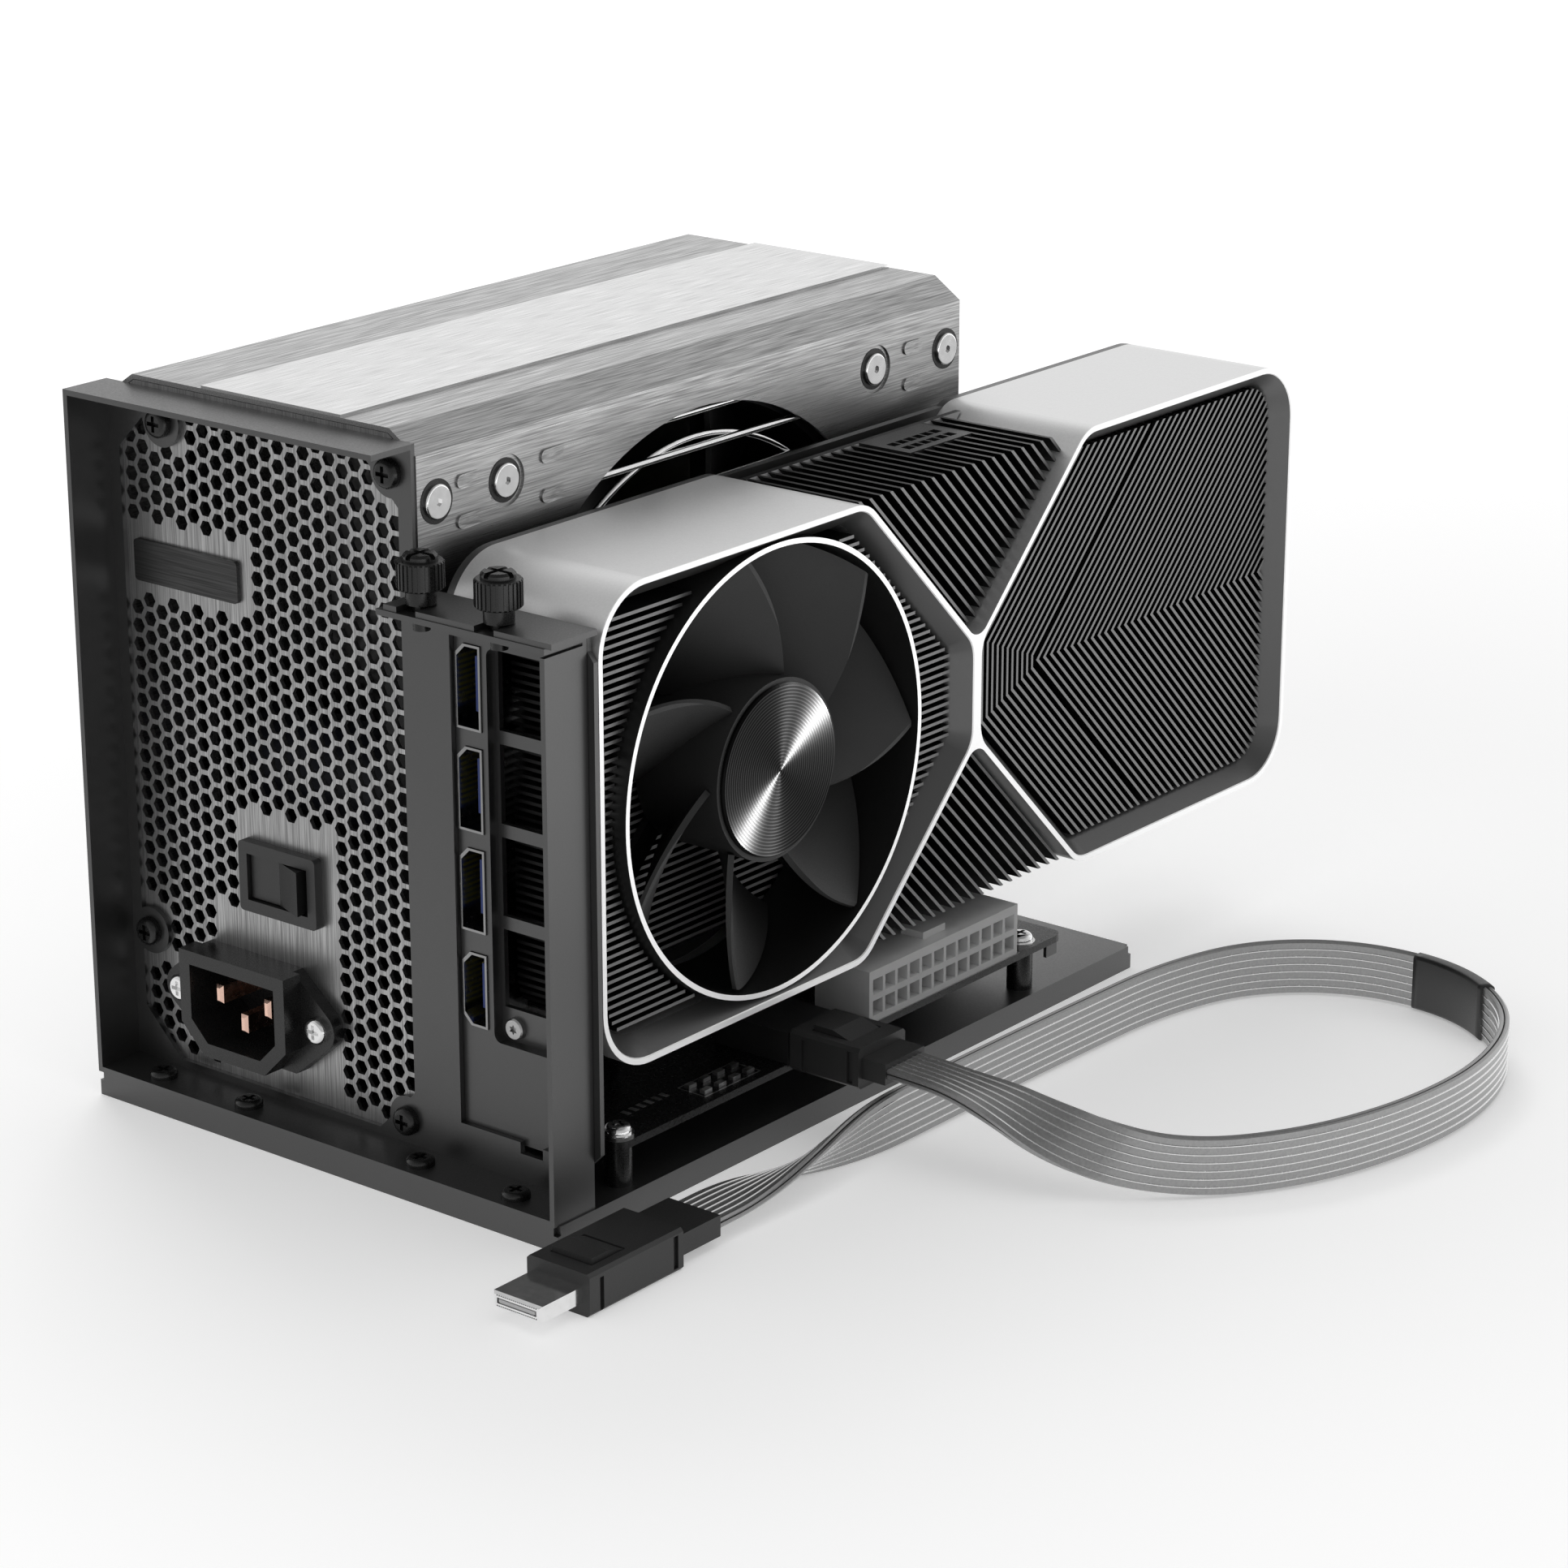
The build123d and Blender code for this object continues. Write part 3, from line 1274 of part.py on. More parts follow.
def plug_body(plug_length, relief_length):
    """Plug about its own axis: tongue towards -x, strain relief towards +x."""
    half = plug_width / 2
    high = plug_height / 2
    body = block(0, plug_length, -half, half, -high, high)
    body = chamfer(body.edges().filter_by(Axis.X), 0.7)
    body -= [block(3.0, 4.2, side * half - 0.7, side * half + 0.7, -high, high - 1.5) for side in (-1, 1)]
    body -= [
        block(plug_length - 3.0, plug_length - 1.6, side * half - 0.7, side * half + 0.7, -high + 1, high - 1)
        for side in (-1, 1)
    ]
    body -= block(
        latch_start - fit, latch_start + latch_length + fit, -latch_half - fit, latch_half + fit,
        pocket_floor, high,
    )
    relief = block(
        plug_length, plug_length + relief_length, -relief_width / 2, relief_width / 2,
        -relief_height / 2, relief_height / 2,
    )
    return body + relief


def plug_tongue():
    """Metal tongue of the plug."""
    half = tongue_width / 2
    tongue = block(-tongue_length, 0, -half, half, -tongue_height / 2, tongue_height / 2)
    tongue = chamfer(tongue.edges().group_by(Axis.X)[0], 0.5)
    return tongue - block(-tongue_length, -2.0, -half + 1.2, half - 1.2, -0.6, 0.6)


def plug_latch():
    """Thumb pad that frees the plug when pressed."""
    low = pocket_floor + latch_travel + fit
    high = plug_height / 2 + latch_height
    side = outline(
        (latch_start, low), (latch_start + latch_length, low), (latch_start + latch_length, high - 1.4),
        (latch_start + 5.0, high), (latch_start, high),
    )
    pad = extrude(Plane((0, latch_half, 0), x_dir=(1, 0, 0), z_dir=(0, -1, 0)) * side, 2 * latch_half)
    return pad


near_plug = Pos(plug_face_x, socket_y, plug_axis_z)
far_plug = Pos(far_plug_x, far_plug_y - far_relief - far_plug_length, far_axis_z) * Rot(0, 0, 90)
cable_exit_x = plug_face_x + near_plug_length + near_relief
rest_z = floor_z + cable_radius
sleeve_z = rest_z + sleeve_wall  # the sleeve rests on the table

# The cable leaves the near plug level, comes down to the table over the returning strand,
# runs round a loose loop and goes back along the base to the far plug.
side = base_right
cable_points = [
    (cable_exit_x, socket_y, plug_axis_z),
    (cable_exit_x + 17.0, socket_y, plug_axis_z),
    (side + 63.7, socket_y + 4.0, 5.5),
    (side + 82.2, socket_y + 16.0, rest_z),
    (side + 98.2, socket_y + 37.0, rest_z),
    (side + 106.7, socket_y + 64.5, rest_z),
    (side + 107.7, socket_y + 93.5, rest_z),
    (side + 98.2, socket_y + 120.5, sleeve_z),
    (side + 76.7, socket_y + 137.0, sleeve_z),
    (side + 50.7, socket_y + 136.5, sleeve_z),
    (side + 30.7, socket_y + 121.5, rest_z),
    (side + 22.7, socket_y + 96.5, rest_z),
    (side + 21.4, socket_y + 67.5, rest_z),
    (side + 20.6, socket_y + 38.5, rest_z),
    (side + 20.2, socket_y + 10.0, rest_z),
    (side + 19.0, socket_y - 18.5, rest_z),
    (far_plug_x, far_plug_y + 13.0, far_axis_z),
    (far_plug_x, far_plug_y, far_axis_z),
]
sleeve_corner = 8  # the sleeve sits on the bend at this point of the route


def cable_radii():
    """Largest bend that the runs beside each corner leave room for."""
    radii = []
    for before, here, after in zip(cable_points, cable_points[1:], cable_points[2:]):
        run_in = Vector(*here) - Vector(*before)
        run_out = Vector(*after) - Vector(*here)
        turn = math.radians(run_in.get_angle(run_out))
        radii.append(0.45 * min(run_in.length, run_out.length) / math.tan(turn / 2))
    return radii


def cable_path():
    """Route of the cable as straight runs and tangent arcs."""
    return FilletPolyline(*cable_points, radius=cable_radii())


def make_cable_ribbon():
    """Plain round stand-in for the flat cable."""
    path = cable_path()
    start = Plane(path @ 0, z_dir=path % 0)
    tube = sweep(start * Circle(cable_radius), path=path)
    section = math.pi * cable_radius**2
    print("cable length", round(path.length, 1), "radii", [round(radius, 1) for radius in cable_radii()])
    print("cable volume", round(tube.volume, 1), "section times length", round(section * path.length, 1))
    return tube


def make_cable_sleeve():
    """Wrap around the cable at the far side of its loop."""
    arc = cable_path().edges()[2 * sleeve_corner - 1]
    start = Plane(arc @ 0, z_dir=arc % 0)
    ring = Circle(cable_radius + sleeve_wall) - Circle(cable_radius + seat)
    return sweep(start * ring, path=arc)


# All nodes by name

nodes = {
    "base_plate": make_base_plate(),
    "rear_panel": make_rear_panel(),
    "panel_screws": make_panel_screws(),
    "psu_mount_screws": make_psu_mount_screws(),
    "thumb_screw_left": make_thumb_screw(thumb_places()[0]),
    "thumb_screw_right": make_thumb_screw(thumb_places()[1]),
    "psu_cover": make_psu_cover(),
    "psu_tray": make_psu_tray(),
    "psu_top_panel": make_psu_top_panel(),
    "psu_rear_grille": make_psu_rear_grille(),
    "psu_label_plate": make_psu_label_plate(),
    "psu_inlet_body": make_psu_inlet_body(),
    "psu_inlet_pins": make_psu_inlet_pins(),
    "psu_inlet_screws": make_psu_inlet_screws(),
    "psu_switch_frame": make_psu_switch_frame(),
    "psu_switch_rocker": make_psu_switch_rocker(),
    "psu_fan_frame": make_psu_fan_frame(),
    "psu_fan_rotor": make_psu_fan_rotor(),
    "psu_fan_guard": make_psu_fan_guard(),
    "psu_side_screws": make_psu_side_screws(),
    "psu_circuit_board": make_psu_circuit_board(),
    "psu_heat_sinks": make_psu_heat_sinks(),
    "psu_transformer": make_psu_transformer(),
    "psu_capacitors": make_psu_capacitors(),
    "card_frame": make_card_frame(),
    "card_rear_cover": make_card_rear_cover(),
    "card_circuit_board": make_card_circuit_board(),
    "card_processor": make_card_processor(),
    "card_power_socket": make_card_power_socket(),
    "card_fan_shroud": make_card_fan_shroud(),
    "card_fan_front": make_card_fan_front(),
    "card_fan_cap": make_card_fan_cap(),
    "card_fan_rear": make_card_fan_rear(),
    "card_rear_fan_mount": make_card_rear_fan_mount(),
    "card_fins_left": make_card_fins_left(),
    "card_fins_top": make_card_fins_centre(1),
    "card_fins_bottom": make_card_fins_centre(-1),
    "card_fins_right": make_card_fins_right(),
    "card_bracket": make_card_bracket(),
    "card_bracket_screw": make_card_bracket_screw(),
    "card_port_shells": make_card_port_shells(),
    "card_port_cores": make_card_port_cores(),
    "riser_board": make_riser_board(),
    "board_standoffs": make_board_standoffs(),
    "board_screws": make_board_screws(),
    "card_slot": make_card_slot(),
    "slot_latch": make_slot_latch(),
    "power_header": make_power_header(),
    "cable_socket": make_cable_socket(),
    "board_small_parts": make_board_small_parts(),
    "board_corner_clip": make_board_corner_clip(),
    "near_plug_body": near_plug * plug_body(near_plug_length, near_relief),
    "near_plug_tongue": near_plug * plug_tongue(),
    "near_plug_latch": near_plug * plug_latch(),
    "far_plug_body": far_plug * plug_body(far_plug_length, far_relief),
    "far_plug_tongue": far_plug * plug_tongue(),
    "far_plug_latch": far_plug * plug_latch(),
    "cable_ribbon": make_cable_ribbon(),
    "cable_sleeve": make_cable_sleeve(),
}

# The origin is on the table, under the middle of the dock without its cable.
origin_x = (base_left + card_front) / 2
origin_y = (panel_front + card_end) / 2
settle = Pos(-origin_x, -origin_y, -floor_z)
print("origin", round(origin_x, 3), round(origin_y, 3), round(floor_z, 3))

os.makedirs("parts", exist_ok=True)
for name, shape in nodes.items():
    export_step(settle * shape, f"parts/{name}.step")
print("nodes", len(nodes))
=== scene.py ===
# %% [markdown]
# # An open dock for a graphics card
# A folded steel base and rear panel carry a boxed power supply and a two-slot graphics card.
# The card stands in a riser board, and a flat ribbed cable runs from that board to a loose plug.
# The solids come ready made, so this lesson dresses them: it gives every surface its finish,
# adds the fine detail that solids leave out, and sets up the camera and the light.

# %% Load the solids
import math

import bmesh
import bpy
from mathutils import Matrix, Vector


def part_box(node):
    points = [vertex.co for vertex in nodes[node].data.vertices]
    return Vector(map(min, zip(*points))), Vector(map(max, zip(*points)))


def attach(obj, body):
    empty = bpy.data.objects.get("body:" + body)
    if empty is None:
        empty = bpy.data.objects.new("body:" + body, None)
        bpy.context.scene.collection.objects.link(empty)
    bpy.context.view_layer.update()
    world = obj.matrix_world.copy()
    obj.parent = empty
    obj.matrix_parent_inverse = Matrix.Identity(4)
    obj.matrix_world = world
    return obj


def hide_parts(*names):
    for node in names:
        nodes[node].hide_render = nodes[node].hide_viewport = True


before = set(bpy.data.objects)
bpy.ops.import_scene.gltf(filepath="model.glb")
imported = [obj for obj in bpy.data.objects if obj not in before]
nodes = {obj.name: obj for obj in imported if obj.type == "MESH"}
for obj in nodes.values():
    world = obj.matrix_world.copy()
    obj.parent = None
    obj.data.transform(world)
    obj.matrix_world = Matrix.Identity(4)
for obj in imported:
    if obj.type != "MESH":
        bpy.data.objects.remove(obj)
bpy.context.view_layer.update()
print("solids:", len(nodes))

# %% [markdown]
# ## Where things are
# Drawings of the dock are easiest to read in millimetres from one corner.
# The lower left rear corner of the power supply is that corner here:
# x runs right, y runs back along the card, and z runs up from the base plate.
# One function turns such a place into the scene's metres, so no other cell has to convert.

# %% Drawing places
mm = 0.001
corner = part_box("psu_cover")[0]
floor_z = 0.0


def place(x, y, z):
    """A place on the drawing, in millimetres, as a point of the scene."""
    return corner + Vector((x, y, z)) * mm


def reach(node):
    """Lowest and highest corners of a solid on the drawing, in millimetres."""
    low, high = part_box(node)
    return (low - corner) / mm, (high - corner) / mm


def middle_of(node):
    """Middle of a solid on the drawing."""
    low, high = reach(node)
    return (low + high) / 2


print("power supply:", [round(v, 1) for v in reach("psu_cover")[1]])

# %% [markdown]
# ## Camera
# The picture is taken from the right, a little above the dock, with a long lens.
# The standard sizes on the dock (the power supply, its screws, the inlet) fix the camera:
# its place, its turn to the left and its tilt down follow from where they appear.

# %% Camera
camera_place = place(663.0, -609.0, 365.2)
camera_turn = math.radians(38.56)
camera_tilt = math.radians(18.83)
picture_side = 1932
focal_pixels = 5462.0


def add_object(name, data):
    """New object in the scene that shows this data."""
    made = bpy.data.objects.new(name, data)
    bpy.context.scene.collection.objects.link(made)
    return made


camera = bpy.data.cameras.new("camera")
camera.sensor_width = 36.0
camera.lens = focal_pixels / picture_side * camera.sensor_width
camera_object = add_object("camera", camera)
camera_object.location = camera_place
camera_object.rotation_euler = (math.pi / 2 - camera_tilt, 0.0, camera_turn)
bpy.context.scene.camera = camera_object
print("lens:", round(camera.lens, 1), "mm")

# %% [markdown]
# ## The cable's route
# The cable is a springy ribbon. It leaves the plug at the riser board lying flat,
# comes down to the table, and there it can only bend by standing on its edge.
# So it twists on the way down, runs round a loose loop on edge,
# passes below its own first stretch and lies flat again where it enters the far plug.
# A NURBS spline that a short list of control points pulls into shape gives one smooth line,
# and reading that line back as points gives the ribbon something to follow.

# %% Cable route
ribbon_width = 12.5
ribbon_thick = 2.4
spline_steps = 14
edge_lift = 0.5
plug_rise = 4.5
near_straight = 17.0
far_straight = 13.0
table = floor_z / mm - corner.z / mm
on_edge = table + ribbon_width / 2 + edge_lift
exit_x = reach("near_plug_body")[1].x
socket = middle_of("near_plug_tongue")
far_x = middle_of("far_plug_body").x
far_y = reach("far_plug_body")[1].y
far_z = table + plug_rise
side = reach("base_plate")[1].x

# Steps right of the base, back from the socket and up from the ribbon's height on edge
loop = [
    (63.7, 4.0, 4.6), (82.2, 16.0, 0.0), (98.2, 37.0, 0.0), (106.7, 64.5, 0.0), (107.7, 93.5, 0.0),
    (98.2, 120.5, 0.0), (76.7, 137.0, 0.0), (50.7, 136.5, 0.0), (30.7, 121.5, 0.0), (22.7, 96.5, 0.0),
    (21.4, 67.5, 0.0), (20.6, 38.5, 0.0), (20.2, 10.0, 0.0), (19.0, -18.5, -0.6),
]
route = [(exit_x, socket.y, socket.z), (exit_x + near_straight, socket.y, socket.z)]
route += [(side + right, socket.y + back, on_edge + up) for right, back, up in loop]
route += [(far_x, far_y + far_straight, far_z), (far_x, far_y, far_z)]


def read_spline(points, resolution):
    """Points along a smooth spline with these control points."""
    curve = bpy.data.curves.new("route", "CURVE")
    curve.dimensions = "3D"
    curve.resolution_u = resolution
    spline = curve.splines.new("NURBS")
    spline.points.add(len(points) - 1)
    for control, spot in zip(spline.points, points):
        control.co = (*place(*spot), 1.0)
    spline.order_u = 3
    spline.use_endpoint_u = True
    holder = bpy.data.objects.new("route", curve)
    mesh = bpy.data.meshes.new_from_object(holder)
    line = [vertex.co.copy() for vertex in mesh.vertices]
    bpy.data.objects.remove(holder)
    bpy.data.curves.remove(curve)
    bpy.data.meshes.remove(mesh)
    return line


cable_line = read_spline(route, spline_steps)
cable_steps = [0.0]
for before, here in zip(cable_line, cable_line[1:]):
    cable_steps.append(cable_steps[-1] + (here - before).length)
cable_length = cable_steps[-1]
print("cable:", round(cable_length, 4), "m,", len(cable_line), "points")

# %% [markdown]
# ## Making pieces
# Every new piece is a mesh that rides on one body of the dock, here always its chassis;
# its finish is given later, from the named finishes.
# One small function does that bookkeeping for all of them.

# %% Piece maker


def make_piece(name, build, body, smooth=False):
    """Put the mesh that a function builds into the scene, as a piece of the dock."""
    work = bmesh.new()
    build(work)
    bmesh.ops.recalc_face_normals(work, faces=work.faces)
    mesh = bpy.data.meshes.new(name)
    work.to_mesh(mesh)
    work.free()
    piece = add_object(name, mesh)
    if smooth:
        mesh.polygons.foreach_set("use_smooth", [True] * len(mesh.polygons))
    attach(piece, body)
    return piece


def add_box(work, low, high):
    """Box between two drawing corners, as new faces."""
    spots = [
        work.verts.new(place(x, y, z))
        for x in (low[0], high[0]) for y in (low[1], high[1]) for z in (low[2], high[2])
    ]
    for face in ((0, 1, 3, 2), (4, 6, 7, 5), (0, 4, 5, 1), (2, 3, 7, 6), (0, 2, 6, 4), (1, 5, 7, 3)):
        work.faces.new([spots[index] for index in face])


print("piece maker ready")

# %% [markdown]
# ## The ribbon's section
# Two flat layers lie on each other in the real ribbon, and each layer has seven broad bands
# with a thin ridge between neighbours, which carries a painted highlight. One layer is drawn as a closed
# outline, and each side of the outline remembers whether it belongs to a ridge.

# %% Ribbon section
bands = 7
ridge_half = 0.19
ridge_rise = 0.2
crown_share = 0.4
layer_gap = 0.1
corner_cut = 0.3


def layer_section(level):
    """One layer of the ribbon: its (across, out) points, and which of its sides are ridges."""
    half = ribbon_thick / 4 - layer_gap / 2 - ridge_rise / 2
    edge = ribbon_width / 2
    crown = ridge_half * crown_share
    upper = [(-edge, 0.0, False), (-edge + corner_cut, half, False)]
    for band in range(1, bands):
        middle = -edge + ribbon_width / bands * band
        upper += [(middle - ridge_half, half, True), (middle - crown, half + ridge_rise, True)]
        upper += [(middle + crown, half + ridge_rise, True), (middle + ridge_half, half, False)]
    upper += [(edge - corner_cut, half, False)]
    points = upper + [(-across, -out, ridge) for across, out, ridge in upper]
    return [(across, level + out) for across, out, ridge in points], [ridge for *spot, ridge in points]


print("sides of a layer:", len(layer_section(0.0)[0]))

# %% [markdown]
# ## Sweeping the ribbon
# The section is swept along the route. At each step its long side turns from level to upright
# by a smooth share, which is how the real ribbon twists between its flat ends and its standing loop.
# The ridges get their own, paler material: a painted highlight for the glint along each ridge.

# %% Ribbon sweep
twist_start = 0.010
twist_end = 0.062
twist_back = 0.058
flat_end = 0.006


def smooth_share(value):
    """Zero before 0, one after 1, and an even slope between."""
    value = min(max(value, 0.0), 1.0)
    return value * value * (3.0 - 2.0 * value)


def cable_axes(index):
    """Directions across and out of the ribbon at a step of its route."""
    before = cable_line[max(index - 1, 0)]
    after = cable_line[min(index + 1, len(cable_line) - 1)]
    along = (after - before).normalized()
    level = Vector((0, 0, 1)).cross(along).normalized()
    upright = along.cross(level)
    gone = cable_steps[index]
    rise = smooth_share((gone - twist_start) / (twist_end - twist_start))
    rise *= smooth_share((cable_length - gone - flat_end) / twist_back)
    angle = rise * math.pi / 2
    across = level * math.cos(angle) + upright * math.sin(angle)
    return across, along.cross(across)


def skin(work, rings, marked=()):
    """Faces between neighbouring rings of points; marked sides take the second material."""
    count = len(rings[0])
    for ring, following in zip(rings, rings[1:]):
        for spot in range(count):
            turn = (spot + 1) % count
            face = work.faces.new((ring[spot], ring[turn], following[turn], following[spot]))
            face.material_index = int(bool(marked) and marked[spot])


def sweep_section(work, section, first, last, marked=()):
    """Closed section swept along part of the cable."""
    rings = []
    for index in range(first, last + 1):
        across, out = cable_axes(index)
        middle = cable_line[index]
        rings.append([work.verts.new(middle + across * a * mm + out * b * mm) for a, b in section])
    skin(work, rings, marked)
    work.faces.new(rings[0])
    work.faces.new(list(reversed(rings[-1])))


def build_ribbon(work):
    """Both layers, one on the other."""
    for level in (-ribbon_thick / 4, ribbon_thick / 4):
        section, ridges = layer_section(level)
        sweep_section(work, section, 0, len(cable_line) - 1, ridges)


ribbon = make_piece("ribbon", build_ribbon, "chassis")
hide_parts("cable_ribbon")
print("ribbon faces:", len(ribbon.data.polygons))

# %% [markdown]
# ## The black sleeve
# A short wrap holds the two layers together on the far side of the loop.
# It is a rounded rectangle swept along the same line, a little larger than the ribbon.

# %% Sleeve
sleeve_low, sleeve_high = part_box("cable_sleeve")
sleeve_middle = (sleeve_low + sleeve_high) / 2
sleeve_length = 0.027
sleeve_wall = 0.55
sleeve_side_share = 0.3
sleeve_round = 0.9
sleeve_corner_steps = 4


def rounded_section(half_across, half_out, radius):
    """Rounded rectangle as (across, out) pairs."""
    section = []
    for quarter, (sign_a, sign_b) in enumerate(((1, 1), (-1, 1), (-1, -1), (1, -1))):
        for step in range(sleeve_corner_steps + 1):
            angle = math.pi / 2 * (quarter + step / sleeve_corner_steps)
            section.append((
                sign_a * (half_across - radius) + radius * math.cos(angle),
                sign_b * (half_out - radius) + radius * math.sin(angle),
            ))
    return section


nearest = min(range(len(cable_line)), key=lambda index: (cable_line[index] - sleeve_middle).length)
from_sleeve = [step - cable_steps[nearest] for step in cable_steps]
wrapped = [index for index, gone in enumerate(from_sleeve) if abs(gone) < sleeve_length / 2]


def build_sleeve(work):
    """Rounded wrap around both layers."""
    half_across = ribbon_width / 2 + sleeve_wall * sleeve_side_share
    section = rounded_section(half_across, ribbon_thick / 2 + sleeve_wall, sleeve_round)
    sweep_section(work, section, wrapped[0], wrapped[-1])


sleeve = make_piece("cable_wrap", build_sleeve, "chassis", smooth=True)
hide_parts("cable_sleeve")
print("sleeve steps:", len(wrapped) - 1)

# %% [markdown]
# ## Nodes and wires
# A finish is a Principled shader with a few texture nodes in front of it.
# A few helpers keep that short: one starts a finish with plain values on the shader's own sockets,
# one adds a node, one draws a wire, and one makes all the finishes of a table by the same recipe.

# %% Nodes and wires


def grey(value):
    """Neutral colour."""
    return (value, value, value)


def start_finish(name, color, metallic, roughness):
    """New finish with plain values on its shader's own sockets."""
    finish = bpy.data.materials.new(name)
    finish.use_nodes = True
    shader = finish.node_tree.nodes["Principled BSDF"]
    shader.inputs["Base Color"].default_value = (*color, 1.0)
    shader.inputs["Metallic"].default_value = metallic
    shader.inputs["Roughness"].default_value = roughness
    return finish, shader


def add_node(finish, kind, **settings):
    """New shader node of a kind in a finish, with its settings."""
    node = finish.node_tree.nodes.new("ShaderNode" + kind)
    for key, value in settings.items():
        setattr(node, key, value)
    return node


def connect(source, target):
    """Wire from one socket to another, in the node tree that they belong to."""
    target.id_data.links.new(source, target)


def joined(finish, operation, first, second):
    """Two fields put together by one step of arithmetic."""
    node = add_node(finish, "Math", operation=operation)
    connect(first, node.inputs[0])
    connect(second, node.inputs[1])
    return node.outputs["Value"]


finishes = {}


def make_finishes(recipe, table):
    """Make every finish of a table by one recipe."""
    for name, values in table.items():
        finishes[name] = recipe(name, *values)
    print("finishes:", ", ".join(table))


print("node helpers ready")

# %% [markdown]
# ## Noise that makes a finish
# Real surfaces are never even. A noise field, stretched along the way a surface was worked,
# is spread over two colours, over a range of roughness, or over a small bump.
# The noise seldom leaves the middle of its range, so only that middle is spread.

# %% Fields
noise_low = 0.3
noise_high = 0.7


def noise_field(finish, per_metre, detail):
    """Noise whose grain has its own fineness along x, y and z."""
    coords = add_node(finish, "TexCoord")
    mapping = add_node(finish, "Mapping")
    mapping.inputs["Scale"].default_value = per_metre
    noise = add_node(finish, "TexNoise")
    noise.inputs["Scale"].default_value = 1.0
    noise.inputs["Detail"].default_value = detail
    connect(coords.outputs["Object"], mapping.inputs["Vector"])
    connect(mapping.outputs["Vector"], noise.inputs["Vector"])
    return noise.outputs["Fac"]


def measured(finish, operation, spot, other):
    """A field that measures a place against a fixed vector."""
    node = add_node(finish, "VectorMath", operation=operation)
    node.inputs[1].default_value = other
    connect(spot, node.inputs[0])
    return node.outputs["Value"]


def spread(finish, field, low, high, to_low, to_high):
    """A field's range mapped onto another range."""
    node = add_node(finish, "MapRange")
    for key, value in (("From Min", low), ("From Max", high), ("To Min", to_low), ("To Max", to_high)):
        node.inputs[key].default_value = value
    connect(field, node.inputs["Value"])
    return node.outputs["Result"]


def two_colors(finish, field, first, second, low=noise_low, high=noise_high):
    """Colour that goes from one to another with a field."""
    ramp = add_node(finish, "ValToRGB")
    for stop, position, color in zip(ramp.color_ramp.elements, (low, high), (first, second)):
        stop.position = position
        stop.color = (*color, 1.0)
    connect(field, ramp.inputs["Fac"])
    return ramp.outputs["Color"]


def vary_roughness(finish, shader, field, first, second):
    """Roughness that goes from one value to another with a noise field."""
    rough = spread(finish, field, noise_low, noise_high, first, second)
    connect(rough, shader.inputs["Roughness"])


def raise_bump(finish, shader, field, height_mm):
    """Small relief from a field."""
    bump = add_node(finish, "Bump")
    bump.inputs["Strength"].default_value = 1.0
    bump.inputs["Distance"].default_value = height_mm * mm
    connect(field, bump.inputs["Height"])
    connect(bump.outputs["Normal"], shader.inputs["Normal"])


print("field helpers ready")

# %% [markdown]
# ## Painted and moulded surfaces
# Black paint, plastic and solder mask are all dark and nearly smooth.
# What tells them apart is how rough they are and how fine their grain is:
# paint has a soft orange peel, moulded plastic a fine spark-eroded grain.
# The contacts deep in the ports take a dull gold from the same recipe,
# because bare metal there would only mirror the dark shell around it.

# %% Grained finishes
broad_grain = 60.0
rough_swing = 0.06


def grained_finish(name, dark, light, roughness, grain, height_mm, gloss):
    """Surface with an even grain; the gloss is its index of refraction."""
    finish, shader = start_finish(name, light, 0.0, roughness)
    shader.inputs["IOR"].default_value = gloss
    field = noise_field(finish, grey(grain), 4.0)
    broad = noise_field(finish, grey(broad_grain), 2.0)
    connect(two_colors(finish, broad, dark, light), shader.inputs["Base Color"])
    vary_roughness(finish, shader, field, roughness - rough_swing, roughness + rough_swing)
    raise_bump(finish, shader, field, height_mm)
    return finish


# Columns: darker and lighter colour, roughness, grain per metre, relief in mm, index of refraction
make_finishes(grained_finish, {
    "black_paint": (grey(0.012), grey(0.016), 0.36, 2600.0, 0.006, 1.9),
    "black_plastic": (grey(0.010), grey(0.014), 0.42, 4200.0, 0.008, 1.6),
    "plug_plastic": (grey(0.020), grey(0.026), 0.46, 4200.0, 0.010, 1.5),
    "fan_plastic": (grey(0.020), grey(0.026), 0.56, 3600.0, 0.004, 1.45),
    "smooth_plastic": (grey(0.010), grey(0.013), 0.30, 3000.0, 0.003, 1.5),
    "solder_mask": (grey(0.004), grey(0.006), 0.30, 1500.0, 0.004, 1.5),
    "black_steel": (grey(0.005), grey(0.008), 0.28, 3000.0, 0.004, 1.5),
    "blue_carrier": ((0.03, 0.055, 0.21), (0.04, 0.07, 0.27), 0.4, 3000.0, 0.004, 1.5),
    "wound_tape": ((0.30, 0.22, 0.06), (0.36, 0.27, 0.08), 0.5, 900.0, 0.02, 1.5),
    "pale_plastic": (grey(0.66), grey(0.72), 0.4, 3000.0, 0.003, 1.5),
    "can_sleeve": ((0.02, 0.022, 0.03), (0.03, 0.032, 0.045), 0.35, 900.0, 0.01, 1.5),
    "gold_plate": ((0.46, 0.42, 0.05), (0.54, 0.49, 0.07), 0.3, 500.0, 0.002, 1.5),
})

# %% [markdown]
# ## Brushed and bright metal
# Brushed sheet is scratched along one direction, so its noise is stretched about fiftyfold that way.
# The streaks vary the colour, the roughness and a very small relief together.
# Plated screws and wires only need a faint wave in their colour and roughness.

# %% Metal finishes
streak_rougher = 0.10
streak_smoother = 0.08
plate_grain = 500.0
plate_tint = 0.9
plate_rough = (0.7, 1.4)


